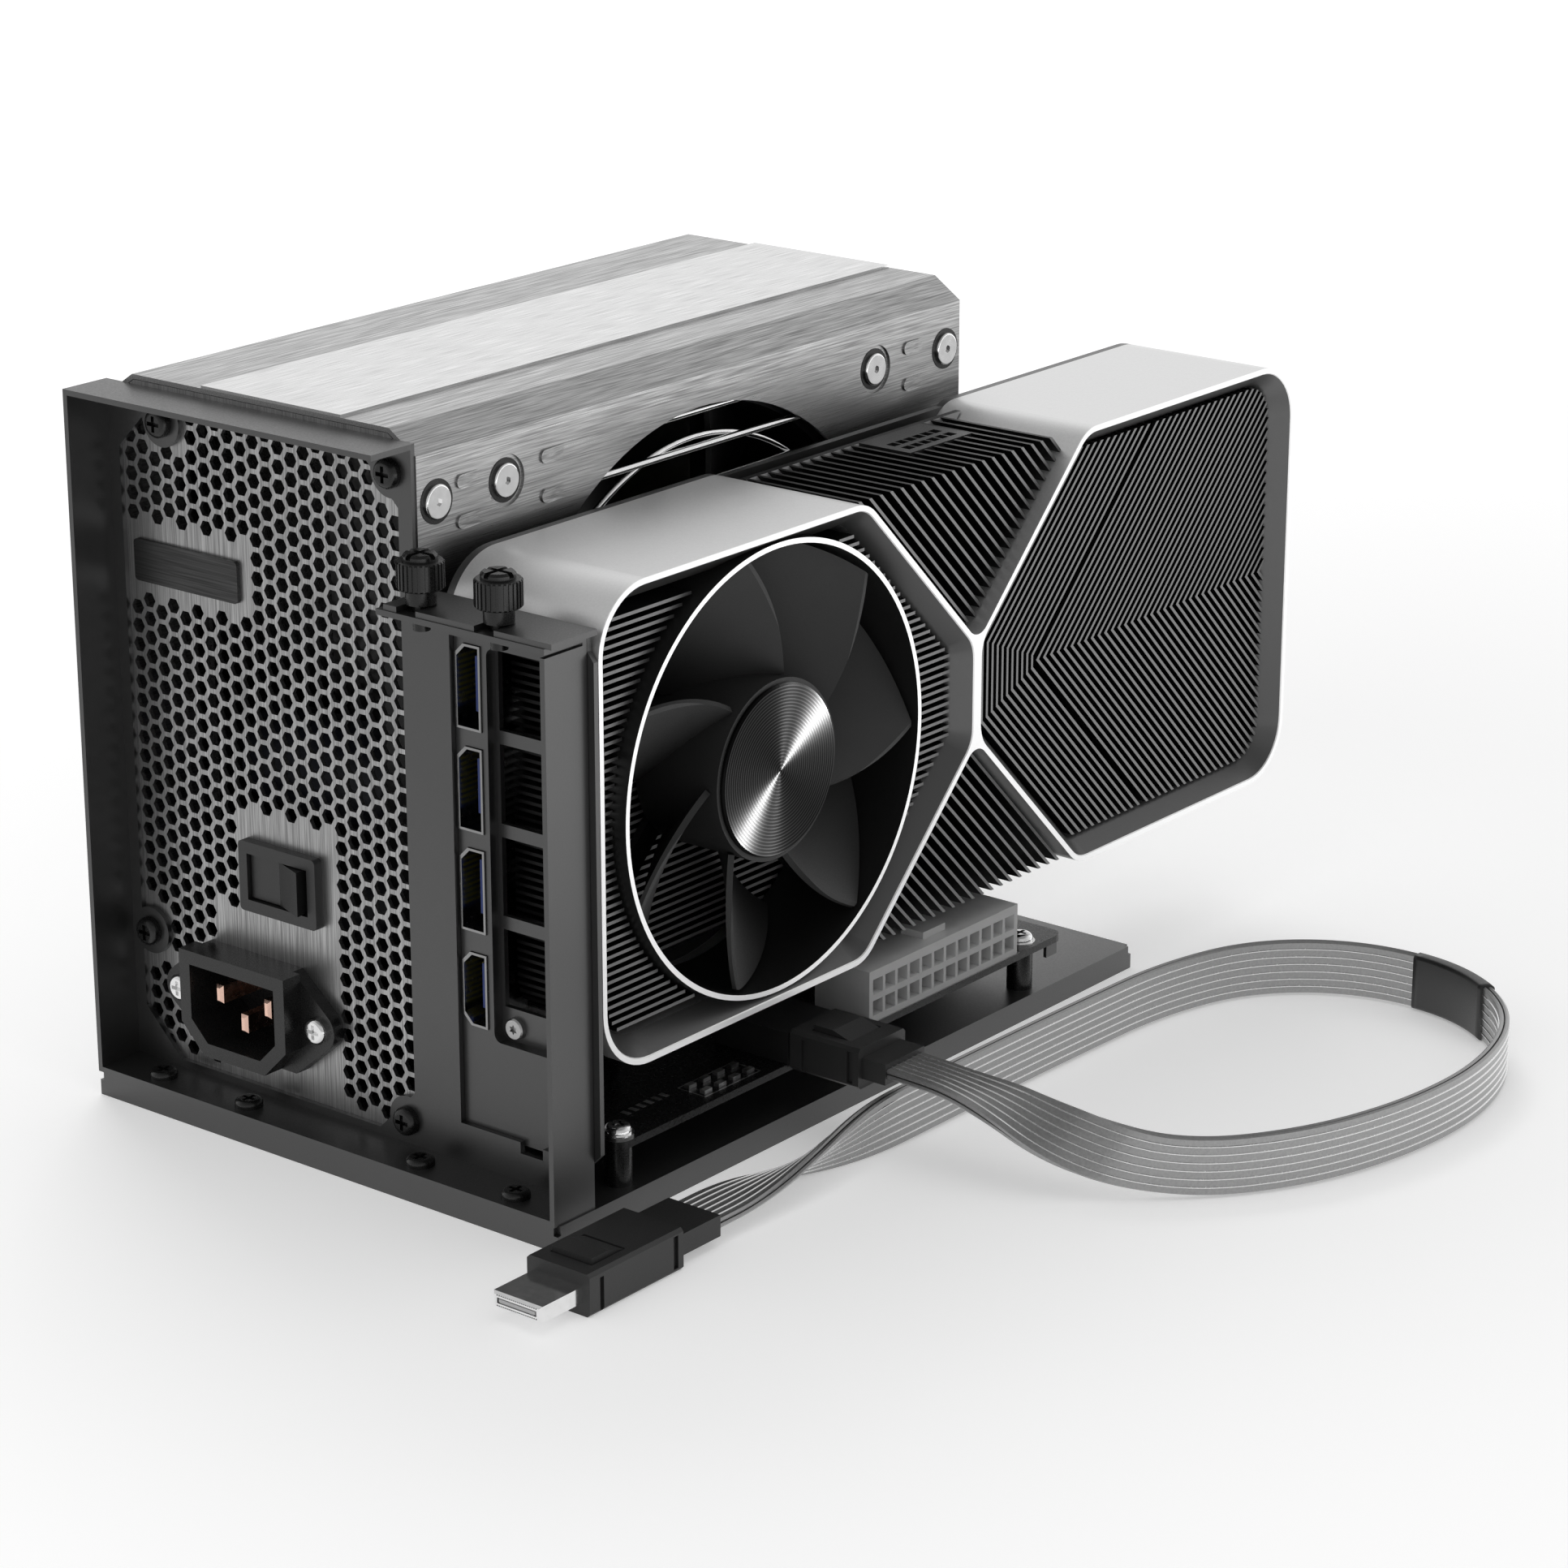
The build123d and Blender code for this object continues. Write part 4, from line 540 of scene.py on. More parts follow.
def brushed_finish(name, dark, light, roughness, along, streak, fine, relief):
    """Sheet metal brushed along one axis."""
    finish, shader = start_finish(name, light, 1.0, roughness)
    per_metre = [fine, fine, fine]
    per_metre["xyz".index(along)] = streak
    field = noise_field(finish, per_metre, 5.0)
    streaks = two_colors(finish, field, dark, light, low=0.34, high=0.66)
    connect(streaks, shader.inputs["Base Color"])
    vary_roughness(finish, shader, field, roughness + streak_rougher, roughness - streak_smoother)
    raise_bump(finish, shader, field, relief)
    return finish


def bright_finish(name, color, roughness):
    """Plated or machined bright metal."""
    finish, shader = start_finish(name, color, 1.0, roughness)
    field = noise_field(finish, grey(plate_grain), 2.0)
    tint = [channel * plate_tint for channel in color]
    connect(two_colors(finish, field, tint, color), shader.inputs["Base Color"])
    vary_roughness(finish, shader, field, *[roughness * share for share in plate_rough])
    return finish


# Columns: darker and lighter colour, roughness, way of the brush, streaks per metre along and across,
# and relief in mm
make_finishes(brushed_finish, {
    "case_brushed": (grey(0.28), grey(0.56), 0.34, "y", 85.0, 4200.0, 0.006),
    "top_brushed": (grey(0.60), grey(0.80), 0.30, "y", 85.0, 4200.0, 0.005),
    "sheet_brushed": (grey(0.26), grey(0.50), 0.36, "z", 70.0, 3600.0, 0.006),
    "plate_brushed": (grey(0.05), grey(0.085), 0.36, "x", 60.0, 3000.0, 0.003),
})
# Columns: colour, roughness
make_finishes(bright_finish, {
    "bright_plate": (grey(0.9), 0.12),
    "copper_plate": ((0.95, 0.64, 0.52), 0.24),
    "plain_metal": (grey(0.55), 0.4),
    "satin_plate": (grey(0.5), 0.36),
    "port_plate": (grey(0.32), 0.2),
})

# %% [markdown]
# ## Cast frame, fan ring and fins
# The frame is one casting with satin outer walls and a bright rim at the front.
# Just inside the rim, the slope and the other faces that lean forward get painted shade:
# a dark grey that stands in for the dim reflection those faces show. All three are told apart by geometry
# alone:
# the rim by how far forward a point lies, and the shaded slope by how much its face leans forward.
# The ring around the fan has a bright front edge on a black body,
# and the black fins show bare, paler metal where their front edges were cut.
# Fins that lie deep behind the fan take a plain pale edge instead. This is painted light:
# nothing bright reaches a mirror down there, and the paler colour stands in for the light the edges lack.

# %% Two-tone finishes
rim_depth = 0.25
ring_depth = 0.12
bare_depth = 16.0
slope_shade_lean = (0.25, 0.45)
ahead_lean = (0.7, 0.8)


def front_share(finish, front_x, depth_mm):
    """Two fields: one within a short depth behind the front, and how far a face looks forward."""
    coords = add_node(finish, "TexCoord")
    spot = add_node(finish, "SeparateXYZ")
    connect(coords.outputs["Object"], spot.inputs["Vector"])
    forward = add_node(finish, "Math", operation="GREATER_THAN")
    forward.inputs[1].default_value = front_x - depth_mm * mm
    connect(spot.outputs["X"], forward.inputs[0])
    facing = add_node(finish, "SeparateXYZ")
    connect(coords.outputs["Normal"], facing.inputs["Vector"])
    return forward.outputs["Value"], facing.outputs["X"]


def mix_color(finish, share, first, second):
    """Colour field that turns from a socket's colour to a plain one."""
    mix = add_node(finish, "Mix", data_type="RGBA")
    mix.inputs["B"].default_value = (*second, 1.0)
    connect(share, mix.inputs["Factor"])
    connect(first, mix.inputs["A"])
    return mix.outputs["Result"]


def frame_finish():
    """Satin casting with a bright rim, and painted shade on its inner slope and other forward-leaning faces.
    """
    finish, shader = start_finish("cast_frame", grey(0.78), 0.75, 0.38)
    rim, facing = front_share(finish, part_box("card_frame")[1].x, rim_depth)
    slope = spread(finish, facing, *slope_shade_lean, 0.0, 1.0)
    field = noise_field(finish, grey(2200.0), 4.0)
    satin = two_colors(finish, field, grey(0.74), grey(0.80))
    # Painted shade: faces that lean forward turn dark grey, in place of the dim reflection they show.
    darker = mix_color(finish, slope, satin, grey(0.13))
    connect(mix_color(finish, rim, darker, grey(0.98)), shader.inputs["Base Color"])
    vary_roughness(finish, shader, field, 0.34, 0.42)
    raise_bump(finish, shader, field, 0.003)
    return finish


def edged_finish(name, dark, edge, front_x, depth_mm, gloss, deep_painted_light):
    """Dark coat; faces that look forward are bare metal near the front, and further back a plain paler
    colour that is painted light.
    """
    finish, shader = start_finish(name, dark, 0.0, 0.4)
    shader.inputs["IOR"].default_value = gloss
    near_front, facing = front_share(finish, front_x, depth_mm)
    ahead = spread(finish, facing, *ahead_lean, 0.0, 1.0)
    forward = joined(finish, "MULTIPLY", near_front, ahead)
    field = noise_field(finish, grey(2600.0), 4.0)
    coat = two_colors(finish, field, [0.85 * channel for channel in dark], dark)
    # Painted light: forward faces further back take a paler plain colour in place of the light that misses
    # them.
    body = mix_color(finish, ahead, coat, deep_painted_light)
    connect(mix_color(finish, forward, body, edge), shader.inputs["Base Color"])
    vary_roughness(finish, shader, field, 0.34, 0.46)
    connect(forward, shader.inputs["Metallic"])
    raise_bump(finish, shader, field, 0.004)
    return finish


finishes["cast_frame"] = frame_finish()
fin_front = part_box("card_fins_right")[1].x
ring_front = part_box("card_fan_shroud")[1].x
# Columns: coat, bare edge, front in metres, depth of the edge in mm, index of refraction, deep edge with
# painted light
make_finishes(edged_finish, {
    "fin_coat": (grey(0.005), grey(0.18), fin_front, bare_depth, 1.3, grey(0.5)),
    "ring_plastic": (grey(0.012), grey(1.0), ring_front, ring_depth, 1.5, grey(0.012)),
})

# %% [markdown]
# ## Turned metal
# The fan's cap was faced on a lathe. Its rings are too fine to model,
# so a bump of concentric waves marks them, and an anisotropic shader
# with its tangent around the axis stretches every reflection into a bow tie.

# %% Turned cap
cap = nodes["card_fan_cap"]
cap_middle = sum(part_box("card_fan_cap"), Vector()) / 2
lathe_pitch = 0.7


def turned_finish():
    """Metal faced on a lathe about the fan's axis."""
    finish, shader = start_finish("turned_cap", grey(0.025), 1.0, 0.42)
    coords = add_node(finish, "TexCoord")
    distance = measured(finish, "DISTANCE", coords.outputs["Object"], cap_middle)
    turns = add_node(finish, "Math", operation="MULTIPLY")
    turns.inputs[1].default_value = 2.0 * math.pi / (lathe_pitch * mm)
    connect(distance, turns.inputs[0])
    wave = add_node(finish, "Math", operation="SINE")
    connect(turns.outputs["Value"], wave.inputs[0])
    rings = two_colors(finish, wave.outputs["Value"], grey(0.008), grey(0.045), low=0.2, high=0.8)
    connect(rings, shader.inputs["Base Color"])
    raise_bump(finish, shader, wave.outputs["Value"], 0.004)
    shader.inputs["Anisotropic"].default_value = 1.0
    shader.inputs["Anisotropic Rotation"].default_value = 0.25
    tangent = add_node(finish, "Tangent", direction_type="RADIAL", axis="X")
    connect(tangent.outputs["Tangent"], shader.inputs["Tangent"])
    return finish


finishes["turned_cap"] = turned_finish()
print("cap finish made")

# %% [markdown]
# ## Clear plastic and the ribbon's jacket
# The power header is clear with a faint milkiness, so light passes through part of it.
# The ribbon has a grey jacket, and its ridges are smoother and painted paler, a painted highlight for their
# glint.

# %% Clear plastic and jacket


def clear_finish():
    """Clear moulded plastic with a faint milkiness."""
    finish, shader = start_finish("clear_plastic", grey(0.86), 0.0, 0.2)
    shader.inputs["Transmission Weight"].default_value = 0.42
    shader.inputs["IOR"].default_value = 1.46
    field = noise_field(finish, grey(300.0), 2.0)
    vary_roughness(finish, shader, field, 0.14, 0.26)
    return finish


def ribbon_finish(name, dark, light, metallic, roughness):
    """Smooth jacket with a faint, fine mottle."""
    finish, shader = start_finish(name, light, metallic, roughness)
    field = noise_field(finish, grey(1800.0), 3.0)
    connect(two_colors(finish, field, dark, light), shader.inputs["Base Color"])
    vary_roughness(finish, shader, field, roughness - 0.05, roughness + 0.05)
    raise_bump(finish, shader, field, 0.003)
    return finish


finishes["clear_plastic"] = clear_finish()
# Columns: darker and lighter colour, share of metal, roughness
make_finishes(ribbon_finish, {
    "ribbon_jacket": (grey(0.31), grey(0.37), 0.7, 0.34),
    # Painted highlight: the ridges' pale colour stands in for the glint along them.
    "ribbon_ridge": (grey(0.72), grey(0.82), 0.9, 0.24),
})

# %% [markdown]
# ## Dressing the solids
# The solids keep their forms and only get their finish here, through the slots of their material.

# %% Finishes on the solids
finish_of = {
    "black_paint": ("base_plate", "rear_panel", "card_bracket", "card_rear_cover", "board_corner_clip"),
    "black_steel": (
        "panel_screws", "psu_mount_screws", "thumb_screw_left", "thumb_screw_right", "board_standoffs",
    ),
    "case_brushed": ("psu_cover", "psu_tray"),
    "top_brushed": ("psu_top_panel",),
    "sheet_brushed": ("psu_rear_grille",),
    "black_plastic": (
        "psu_switch_frame", "psu_switch_rocker", "psu_fan_frame", "psu_fan_rotor",
        "card_power_socket", "card_rear_fan_mount", "card_slot", "slot_latch", "cable_socket",
    ),
    "plug_plastic": ("near_plug_body", "near_plug_latch", "far_plug_body", "far_plug_latch"),
    "fan_plastic": ("card_fan_front", "card_fan_rear"),
    "ring_plastic": ("card_fan_shroud",),
    "plate_brushed": ("psu_label_plate",),
    "smooth_plastic": ("psu_inlet_body",),
    "copper_plate": ("psu_inlet_pins",),
    "bright_plate": (
        "psu_inlet_screws", "psu_fan_guard", "psu_side_screws",
        "board_screws", "near_plug_tongue", "far_plug_tongue",
    ),
    "satin_plate": ("card_bracket_screw",),
    "port_plate": ("card_port_shells",),
    "solder_mask": ("psu_circuit_board", "card_circuit_board", "riser_board"),
    "plain_metal": ("psu_heat_sinks", "card_processor", "board_small_parts"),
    "wound_tape": ("psu_transformer",),
    "can_sleeve": ("psu_capacitors",),
    "cast_frame": ("card_frame",),
    "turned_cap": ("card_fan_cap",),
    "fin_coat": ("card_fins_left", "card_fins_right", "card_fins_top", "card_fins_bottom"),
    "blue_carrier": ("card_port_cores",),
    "clear_plastic": ("power_header",),
}


def dress(piece, finish):
    """Give a piece one finish all over, by its name."""
    if not piece.material_slots:
        piece.data.materials.append(finishes[finish])
    for slot in piece.material_slots:
        slot.material = finishes[finish]


for finish, names in finish_of.items():
    for name in names:
        dress(nodes[name], finish)
for finish in ("ribbon_jacket", "ribbon_ridge"):
    ribbon.data.materials.append(finishes[finish])
dress(sleeve, "black_plastic")
print("dressed:", sum(len(names) for names in finish_of.values()))

# %% [markdown]
# ## Softened edges
# Folded sheet and moulded plastic never have knife edges: a fold or a mould leaves a small radius,
# and that radius catches a thin line of light. A bevel modifier, limited to sharp corners,
# adds it without touching the solid's own mesh.

# %% Edge rounding
sharp_angle = math.radians(40.0)
soft_edges = {
    0.25: ("base_plate", "rear_panel", "card_bracket", "psu_label_plate", "board_corner_clip"),
    0.35: ("psu_inlet_body", "psu_switch_frame", "psu_switch_rocker", "near_plug_body", "far_plug_body"),
    0.3: ("near_plug_latch", "far_plug_latch", "slot_latch", "cable_socket"),
}


def soften(piece, width):
    """Round the sharp edges of a piece by a small radius."""
    bevel = piece.modifiers.new("soft_edges", "BEVEL")
    bevel.width = width * mm
    bevel.segments = 2
    bevel.limit_method = "ANGLE"
    bevel.angle_limit = sharp_angle


for width, names in soft_edges.items():
    for name in names:
        soften(nodes[name], width)
print("softened:", sum(len(names) for names in soft_edges.values()))

# %% [markdown]
# ## Where the rear sheet stays whole
# The supply's rear sheet is punched with hundreds of small hexagons in a honeycomb.
# Around the name plate, the switch, the inlet and the four mounting screws the sheet is left whole.
# Each of those zones is a simple test on a place, so it can be asked for every hole.

# %% Whole zones of the sheet
plate_spot = middle_of("psu_label_plate")
switch_spot = middle_of("psu_switch_frame")
inlet_spot = middle_of("psu_inlet_body")
plate_zone = (18.0, 8.2)
switch_zone_left = 12.4
switch_zone_right = 13.6
switch_zone_up = 14.0
below_switch = 8.0
below_switch_reach = 9.0
inlet_zone = (25.6, 13.4)
inlet_wing_start = 13.3
inlet_wing_slope = 0.62
post_clear = 6.4
post_low, post_high = reach("psu_mount_screws")
head_radius = 3.1
upper_left_post_x = 16.0
lower_left_post_z = 30.6
posts = (
    (upper_left_post_x, post_high.z - head_radius),
    (post_high.x - head_radius, post_high.z - head_radius),
    (post_low.x + head_radius, lower_left_post_z),
    (post_high.x - head_radius, post_low.z + head_radius),
)


def near_fitting(x, z):
    """True where the sheet is left whole for a fitting."""
    if abs(x - plate_spot.x) < plate_zone[0] and abs(z - plate_spot.z) < plate_zone[1]:
        return True
    left = switch_spot.x - switch_zone_left
    if z < switch_spot.z - below_switch:
        left -= below_switch_reach
    if left < x < switch_spot.x + switch_zone_right and z < switch_spot.z + switch_zone_up:
        return True
    aside = abs(x - inlet_spot.x)
    wing = inlet_zone[1] - max(aside - inlet_wing_start, 0.0) * inlet_wing_slope
    if aside < inlet_zone[0] and abs(z - inlet_spot.z) < wing:
        return True
    return any(math.hypot(x - post_x, z - post_z) < post_clear for post_x, post_z in posts)


print("whole around the inlet:", near_fitting(inlet_spot.x, inlet_spot.z))

# %% [markdown]
# ## The perforated rear sheet
# Cutting each hole with a Boolean would be slow and fragile, so the sheet is drawn flat:
# its outline and all the hexagons become edges, one triangle fill spans them,
# and a solidify modifier gives the sheet its thickness.

# %% Rear sheet
hexagon_flats = 3.05
hexagon_rise = 4.1
hexagon_step = 3.55
first_hexagon = (0.8, 0.6)
sheet_border = 3.4
corner_clear = 9.0
sheet_low, sheet_high = reach("psu_rear_grille")
top_cut = (6.3, 4.2)
foot_cut = 2.4
switch_cut = (9.6, 6.4)
inlet_cut = (14.4, 10.5)
square = ((-1, -1), (1, -1), (1, 1), (-1, 1))


def sheet_outline():
    """Corners of the rear sheet with its cut corners, as (x, z)."""
    left, right = sheet_low.x, sheet_high.x
    low, high = sheet_low.z, sheet_high.z
    across, down = top_cut
    foot = [(left + foot_cut, low), (right - foot_cut, low), (right, low + foot_cut)]
    head = [(right, high - down), (right - across, high), (left + across, high), (left, high - down)]
    return foot + head + [(left, low + foot_cut)]


def hexagon_spots():
    """Centres of all the holes."""
    spots = []
    columns = int((sheet_high.x - sheet_low.x) / hexagon_step)
    rows = int((sheet_high.z - sheet_low.z) / hexagon_rise)
    for column in range(columns + 1):
        for row in range(rows + 1):
            x = sheet_low.x + first_hexagon[0] + column * hexagon_step
            z = sheet_low.z + first_hexagon[1] + (row + 0.5 * (column % 2)) * hexagon_rise
            from_side = min(x - sheet_low.x, sheet_high.x - x)
            from_end = min(z - sheet_low.z, sheet_high.z - z)
            inside = min(from_side, from_end) > sheet_border and from_side + from_end > corner_clear
            if inside and not near_fitting(x, z):
                spots.append((x, z))
    return spots


def add_loop(work, corners):
    """Closed ring of edges through (x, z) corners on the sheet's face."""
    ring = [work.verts.new(place(x, sheet_low.y, z)) for x, z in corners]
    return [work.edges.new((ring[i - 1], ring[i])) for i in range(len(ring))]


def rectangle_corners(middle, halves):
    """Corners of a rectangle about a middle."""
    return [(middle.x + a * halves[0], middle.z + b * halves[1]) for a, b in square]


punched = hexagon_spots()


def build_rear_sheet(work):
    """Flat sheet with every hole, filled by triangles."""
    edges = add_loop(work, sheet_outline())
    radius = hexagon_flats / math.sqrt(3.0)
    turns = [math.radians(60.0 * turn) for turn in range(6)]
    for x, z in punched:
        edges += add_loop(work, [(x + radius * math.cos(t), z + radius * math.sin(t)) for t in turns])
    edges += add_loop(work, rectangle_corners(switch_spot, switch_cut))
    edges += add_loop(work, rectangle_corners(inlet_spot, inlet_cut))
    bmesh.ops.triangle_fill(work, edges=edges, use_beauty=True, use_dissolve=False)


rear_sheet = make_piece("rear_sheet", build_rear_sheet, "chassis")
if rear_sheet.data.polygons[0].normal.y > 0:
    rear_sheet.data.flip_normals()
thickness = rear_sheet.modifiers.new("thickness", "SOLIDIFY")
thickness.thickness = (sheet_high.y - sheet_low.y) * mm
thickness.offset = -1.0
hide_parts("psu_rear_grille")
dress(rear_sheet, "sheet_brushed")
print("holes:", len(punched))

# %% [markdown]
# ## Pressed ramps on the supply's side
# Beside the screws the case has small ramps, pressed out of the sheet in two rows:
# round at the near end, and running out flush towards the far end.
# Each is a thin wedge with a half circle for its near end, drawn straight on the side of the case.

# %% Pressed ramps
case_side = reach("psu_cover")[1].x
ramp_length = 8.0
ramp_half = 1.5
ramp_rise = 0.45
ramp_sink = 0.05
ramp_steps = 8
ramp_rows = (131.6, 139.8)
ramp_columns = (11.2, 36.2, 157.0)


def add_ramp(work, y, z):
    """Small ramp with a round near end."""
    turns = [math.pi / 2 + math.pi * step / ramp_steps for step in range(ramp_steps + 1)]
    rim = [(y + ramp_half + ramp_half * math.cos(t), z + ramp_half * math.sin(t)) for t in turns]
    foot = [work.verts.new(place(case_side - ramp_sink, a, b)) for a, b in rim]
    head = [work.verts.new(place(case_side + ramp_rise, a, b)) for a, b in rim]
    end = y + ramp_length
    tail = [work.verts.new(place(case_side - ramp_sink, end, z + s * ramp_half)) for s in (-1, 1)]
    for step in range(ramp_steps):
        work.faces.new((foot[step], foot[step + 1], head[step + 1], head[step]))
    work.faces.new(head + tail)
    work.faces.new((foot[-1], tail[0], head[-1]))
    work.faces.new((foot[0], head[0], tail[1]))
    work.faces.new(list(reversed(foot)) + [tail[1], tail[0]])


def build_ramps(work):
    """Every ramp of both rows."""
    for y in ramp_columns:
        for z in ramp_rows:
            add_ramp(work, y, z)


ramps = make_piece("case_ramps", build_ramps, "chassis")
dress(ramps, "case_brushed")
print("ramps:", len(ramp_rows) * len(ramp_columns))

# %% [markdown]
# ## Painted shade around the side screws
# Each bright button head sits in a hole that is a little larger, and the gap around it lies in shade.
# A thin black ring paints that shade; it is spun from a small rectangular section about the screw's axis,
# and lies on the sheet's face.
# The two inner screws sit in shallow dimples, so their rings lie deeper, and there they also paint the
# dimples' shade.

# %% Screw rings
ring_inner = 3.5
ring_outer = 4.6
ring_rise = 0.12
ring_steps = 40
dimple_sink = 0.5
ring_z = middle_of("psu_side_screws").z
end_screws = (5.5, 172.5)
inner_screws = (26.0, 147.0)


def add_ring(work, y, face):
    """Flat ring about a screw's axis, on a face of the case."""
    back, front = face - ring_rise, face + ring_rise
    section = ((ring_inner, back), (ring_outer, back), (ring_outer, front), (ring_inner, front))
    rings = []
    for step in range(ring_steps):
        angle = 2.0 * math.pi * step / ring_steps
        across, up = math.cos(angle), math.sin(angle)
        rings.append([work.verts.new(place(x, y + r * across, ring_z + r * up)) for r, x in section])
    skin(work, rings + rings[:1])


def build_screw_shade_rings(work):
    """Rings of painted shade around all the side screws."""
    for y in end_screws:
        add_ring(work, y, case_side)
    for y in inner_screws:
        add_ring(work, y, case_side - dimple_sink)


# Painted shade: black rings stand in for the shade in the gaps and dimples around the screws.
screw_shade_rings = make_piece("screw_shade_rings", build_screw_shade_rings, "chassis")
dress(screw_shade_rings, "smooth_plastic")
print("rings:", len(end_screws) + len(inner_screws))

# %% [markdown]
# ## Contacts in the video ports
# Each port carries gold contacts along both sides of its tongue.
# They are tiny, so all of them are one piece made of many small blocks.

# %% Port contacts
core_low, core_high = reach("card_port_cores")
ports = 4
port_rise = 21.2
port_half = 5.7
contact_rows = 9
contact_pitch = 1.15
contact_half = 0.28
contact_thick = 0.12
contact_start = 0.2
contact_end = 5.5


def build_port_contacts(work):
    """Gold strips on both sides of each port's tongue."""
    start, end = core_low.y + contact_start, core_low.y + contact_end
    for port in range(ports):
        middle = core_high.z - port_half - port * port_rise
        for row in range(contact_rows):
            z = middle + (row - (contact_rows - 1) / 2) * contact_pitch
            for x in (core_high.x, core_low.x - contact_thick):
                add_box(work, (x, start, z - contact_half), (x + contact_thick, end, z + contact_half))


port_contacts = make_piece("port_contacts", build_port_contacts, "chassis")
dress(port_contacts, "gold_plate")
print("port contacts:", ports * contact_rows * 2)

# %% [markdown]
# ## The face of the loose plug
# The plug's bright tongue has a slot, with a row of dark contacts above it and one below.
# A pale carrier nearly fills the slot, and its lower edge is toothed.

# %% Plug face
tongue = middle_of("far_plug_tongue")
tongue_front = reach("far_plug_tongue")[0].y
dot_columns = 20
dot_pitch = 0.52
dot_rise = 1.08
dot_half = (0.13, 0.11)
dot_proud = 0.04
dot_depth = 0.5
insert_half = (4.6, 0.32)
insert_sink = 0.05
insert_depth = 9.0
tooth_half = 0.1
tooth_drop = 0.15
tooth_depth = 6.0
tooth_share = 0.95
tooth_pitch = 2 * insert_half[0] * tooth_share / dot_columns


def column_places(pitch):
    """Places of a row of columns across the plug, about its middle."""
    return [tongue.x + (column - (dot_columns - 1) / 2) * pitch for column in range(dot_columns)]


def build_plug_dots(work):
    """Two rows of dark contacts, above and below the plug's slot."""
    across, up = dot_half
    front, back = tongue_front - dot_proud, tongue_front + dot_depth
    for z in (tongue.z - dot_rise, tongue.z + dot_rise):
        for x in column_places(dot_pitch):
            add_box(work, (x - across, front, z - up), (x + across, back, z + up))


def build_plug_insert(work):
    """Pale carrier that nearly fills the plug's slot, with a toothed lower edge."""
    across, up = insert_half
    front = tongue_front + insert_sink
    low, high = tongue.z - up, tongue.z + up
    add_box(work, (tongue.x - across, front, low), (tongue.x + across, front + insert_depth, high))
    for x in column_places(tooth_pitch):
        add_box(work, (x - tooth_half, front, low - tooth_drop), (x + tooth_half, front + tooth_depth, low))


plug_dots = make_piece("plug_dots", build_plug_dots, "chassis")
dress(plug_dots, "black_plastic")
plug_insert = make_piece("plug_insert", build_plug_insert, "chassis")
dress(plug_insert, "pale_plastic")
print("plug contacts:", 2 * dot_columns)

# %% [markdown]
# ## Marks on the riser board
# A riser board carries printed outlines around its parts and rows of bare solder pads.
# Only plain marks are made: outlines around the small parts and the header, and pads.
# They are very thin raised lines, so they stay crisp from any side.

# %% Board marks
board_top = reach("riser_board")[1].z
parts_low, parts_high = reach("board_small_parts")
header_low, header_high = reach("power_header")
mark_line = 0.25
mark_rise = 0.03
mark_top = board_top + mark_rise
parts_margin = 1.0
header_margin = 0.9
header_front = 0.3
near_mark = ((-5.5, -6.0), (8.0, -2.6))
pad_count = 6
pad_start = (-2.0, -18.0)
pad_size = (2.2, 1.2)
pad_pitch = 2.4


def add_frame(work, x0, y0, x1, y1):
    """Thin rectangular outline lying on the board."""
    line = mark_line
    for start, end in (
        ((x0, y0), (x1, y0 + line)), ((x0, y1 - line), (x1, y1)),
        ((x0, y0 + line), (x0 + line, y1 - line)), ((x1 - line, y0 + line), (x1, y1 - line)),
    ):
        add_box(work, (*start, board_top), (*end, mark_top))


def build_board_marks(work):
    """Outlines and pads."""
    margin = parts_margin
    add_frame(work, parts_low.x - margin, parts_low.y - margin, parts_high.x + margin, parts_high.y + margin)
    margin = header_margin
    right = header_high.x + header_front
    add_frame(work, header_low.x - margin, header_low.y - margin, right, header_high.y + margin)
    (left, near), (right, far) = near_mark
    add_frame(work, header_low.x + left, header_low.y + near, header_low.x + right, header_low.y + far)
    left = parts_low.x + pad_start[0]
    for pad in range(pad_count):
        near = parts_low.y + pad_start[1] + pad_pitch * pad
        add_box(work, (left, near, board_top), (left + pad_size[0], near + pad_size[1], mark_top))


board_marks = make_piece("board_marks", build_board_marks, "chassis")
dress(board_marks, "plain_metal")
print("outlines: 3, pads:", pad_count)

# %% [markdown]
# ## Studio floor
# A pale paper floor carries the dock and keeps its soft shadow.
# A faint glow is added to the paper, and it grows with distance, so that far off the floor turns white.
# The Light Path node lets the glow show only to the camera and in reflections, so it lights nothing.
# In reflections it is stronger at the right and the back, and weaker in front on the left:
# that is what makes the card's rim bright while the rear panel stays dark.

# %% Floor
floor_half = 6.0
glow_middle = (0.0, 0.25, 0.0)
glow_reach = 1.6
glow_near = 0.24
glow_far = 0.66
front_left = (-0.62, -0.78, 0.0)
front_band = (-0.25, 0.35)
mirror_back = 2.1
mirror_front = 0.25
floor_mesh = bpy.data.meshes.new("floor")
floor_corners = [(a * floor_half, b * floor_half, floor_z) for a, b in square]
floor_mesh.from_pydata(floor_corners, [], [(0, 1, 2, 3)])
floor = add_object("floor", floor_mesh)


def mirror_share(finish, rays):
    """One where a ray comes from a reflection or through clear plastic."""
    return joined(finish, "MAXIMUM", rays.outputs["Is Glossy Ray"], rays.outputs["Is Transmission Ray"])


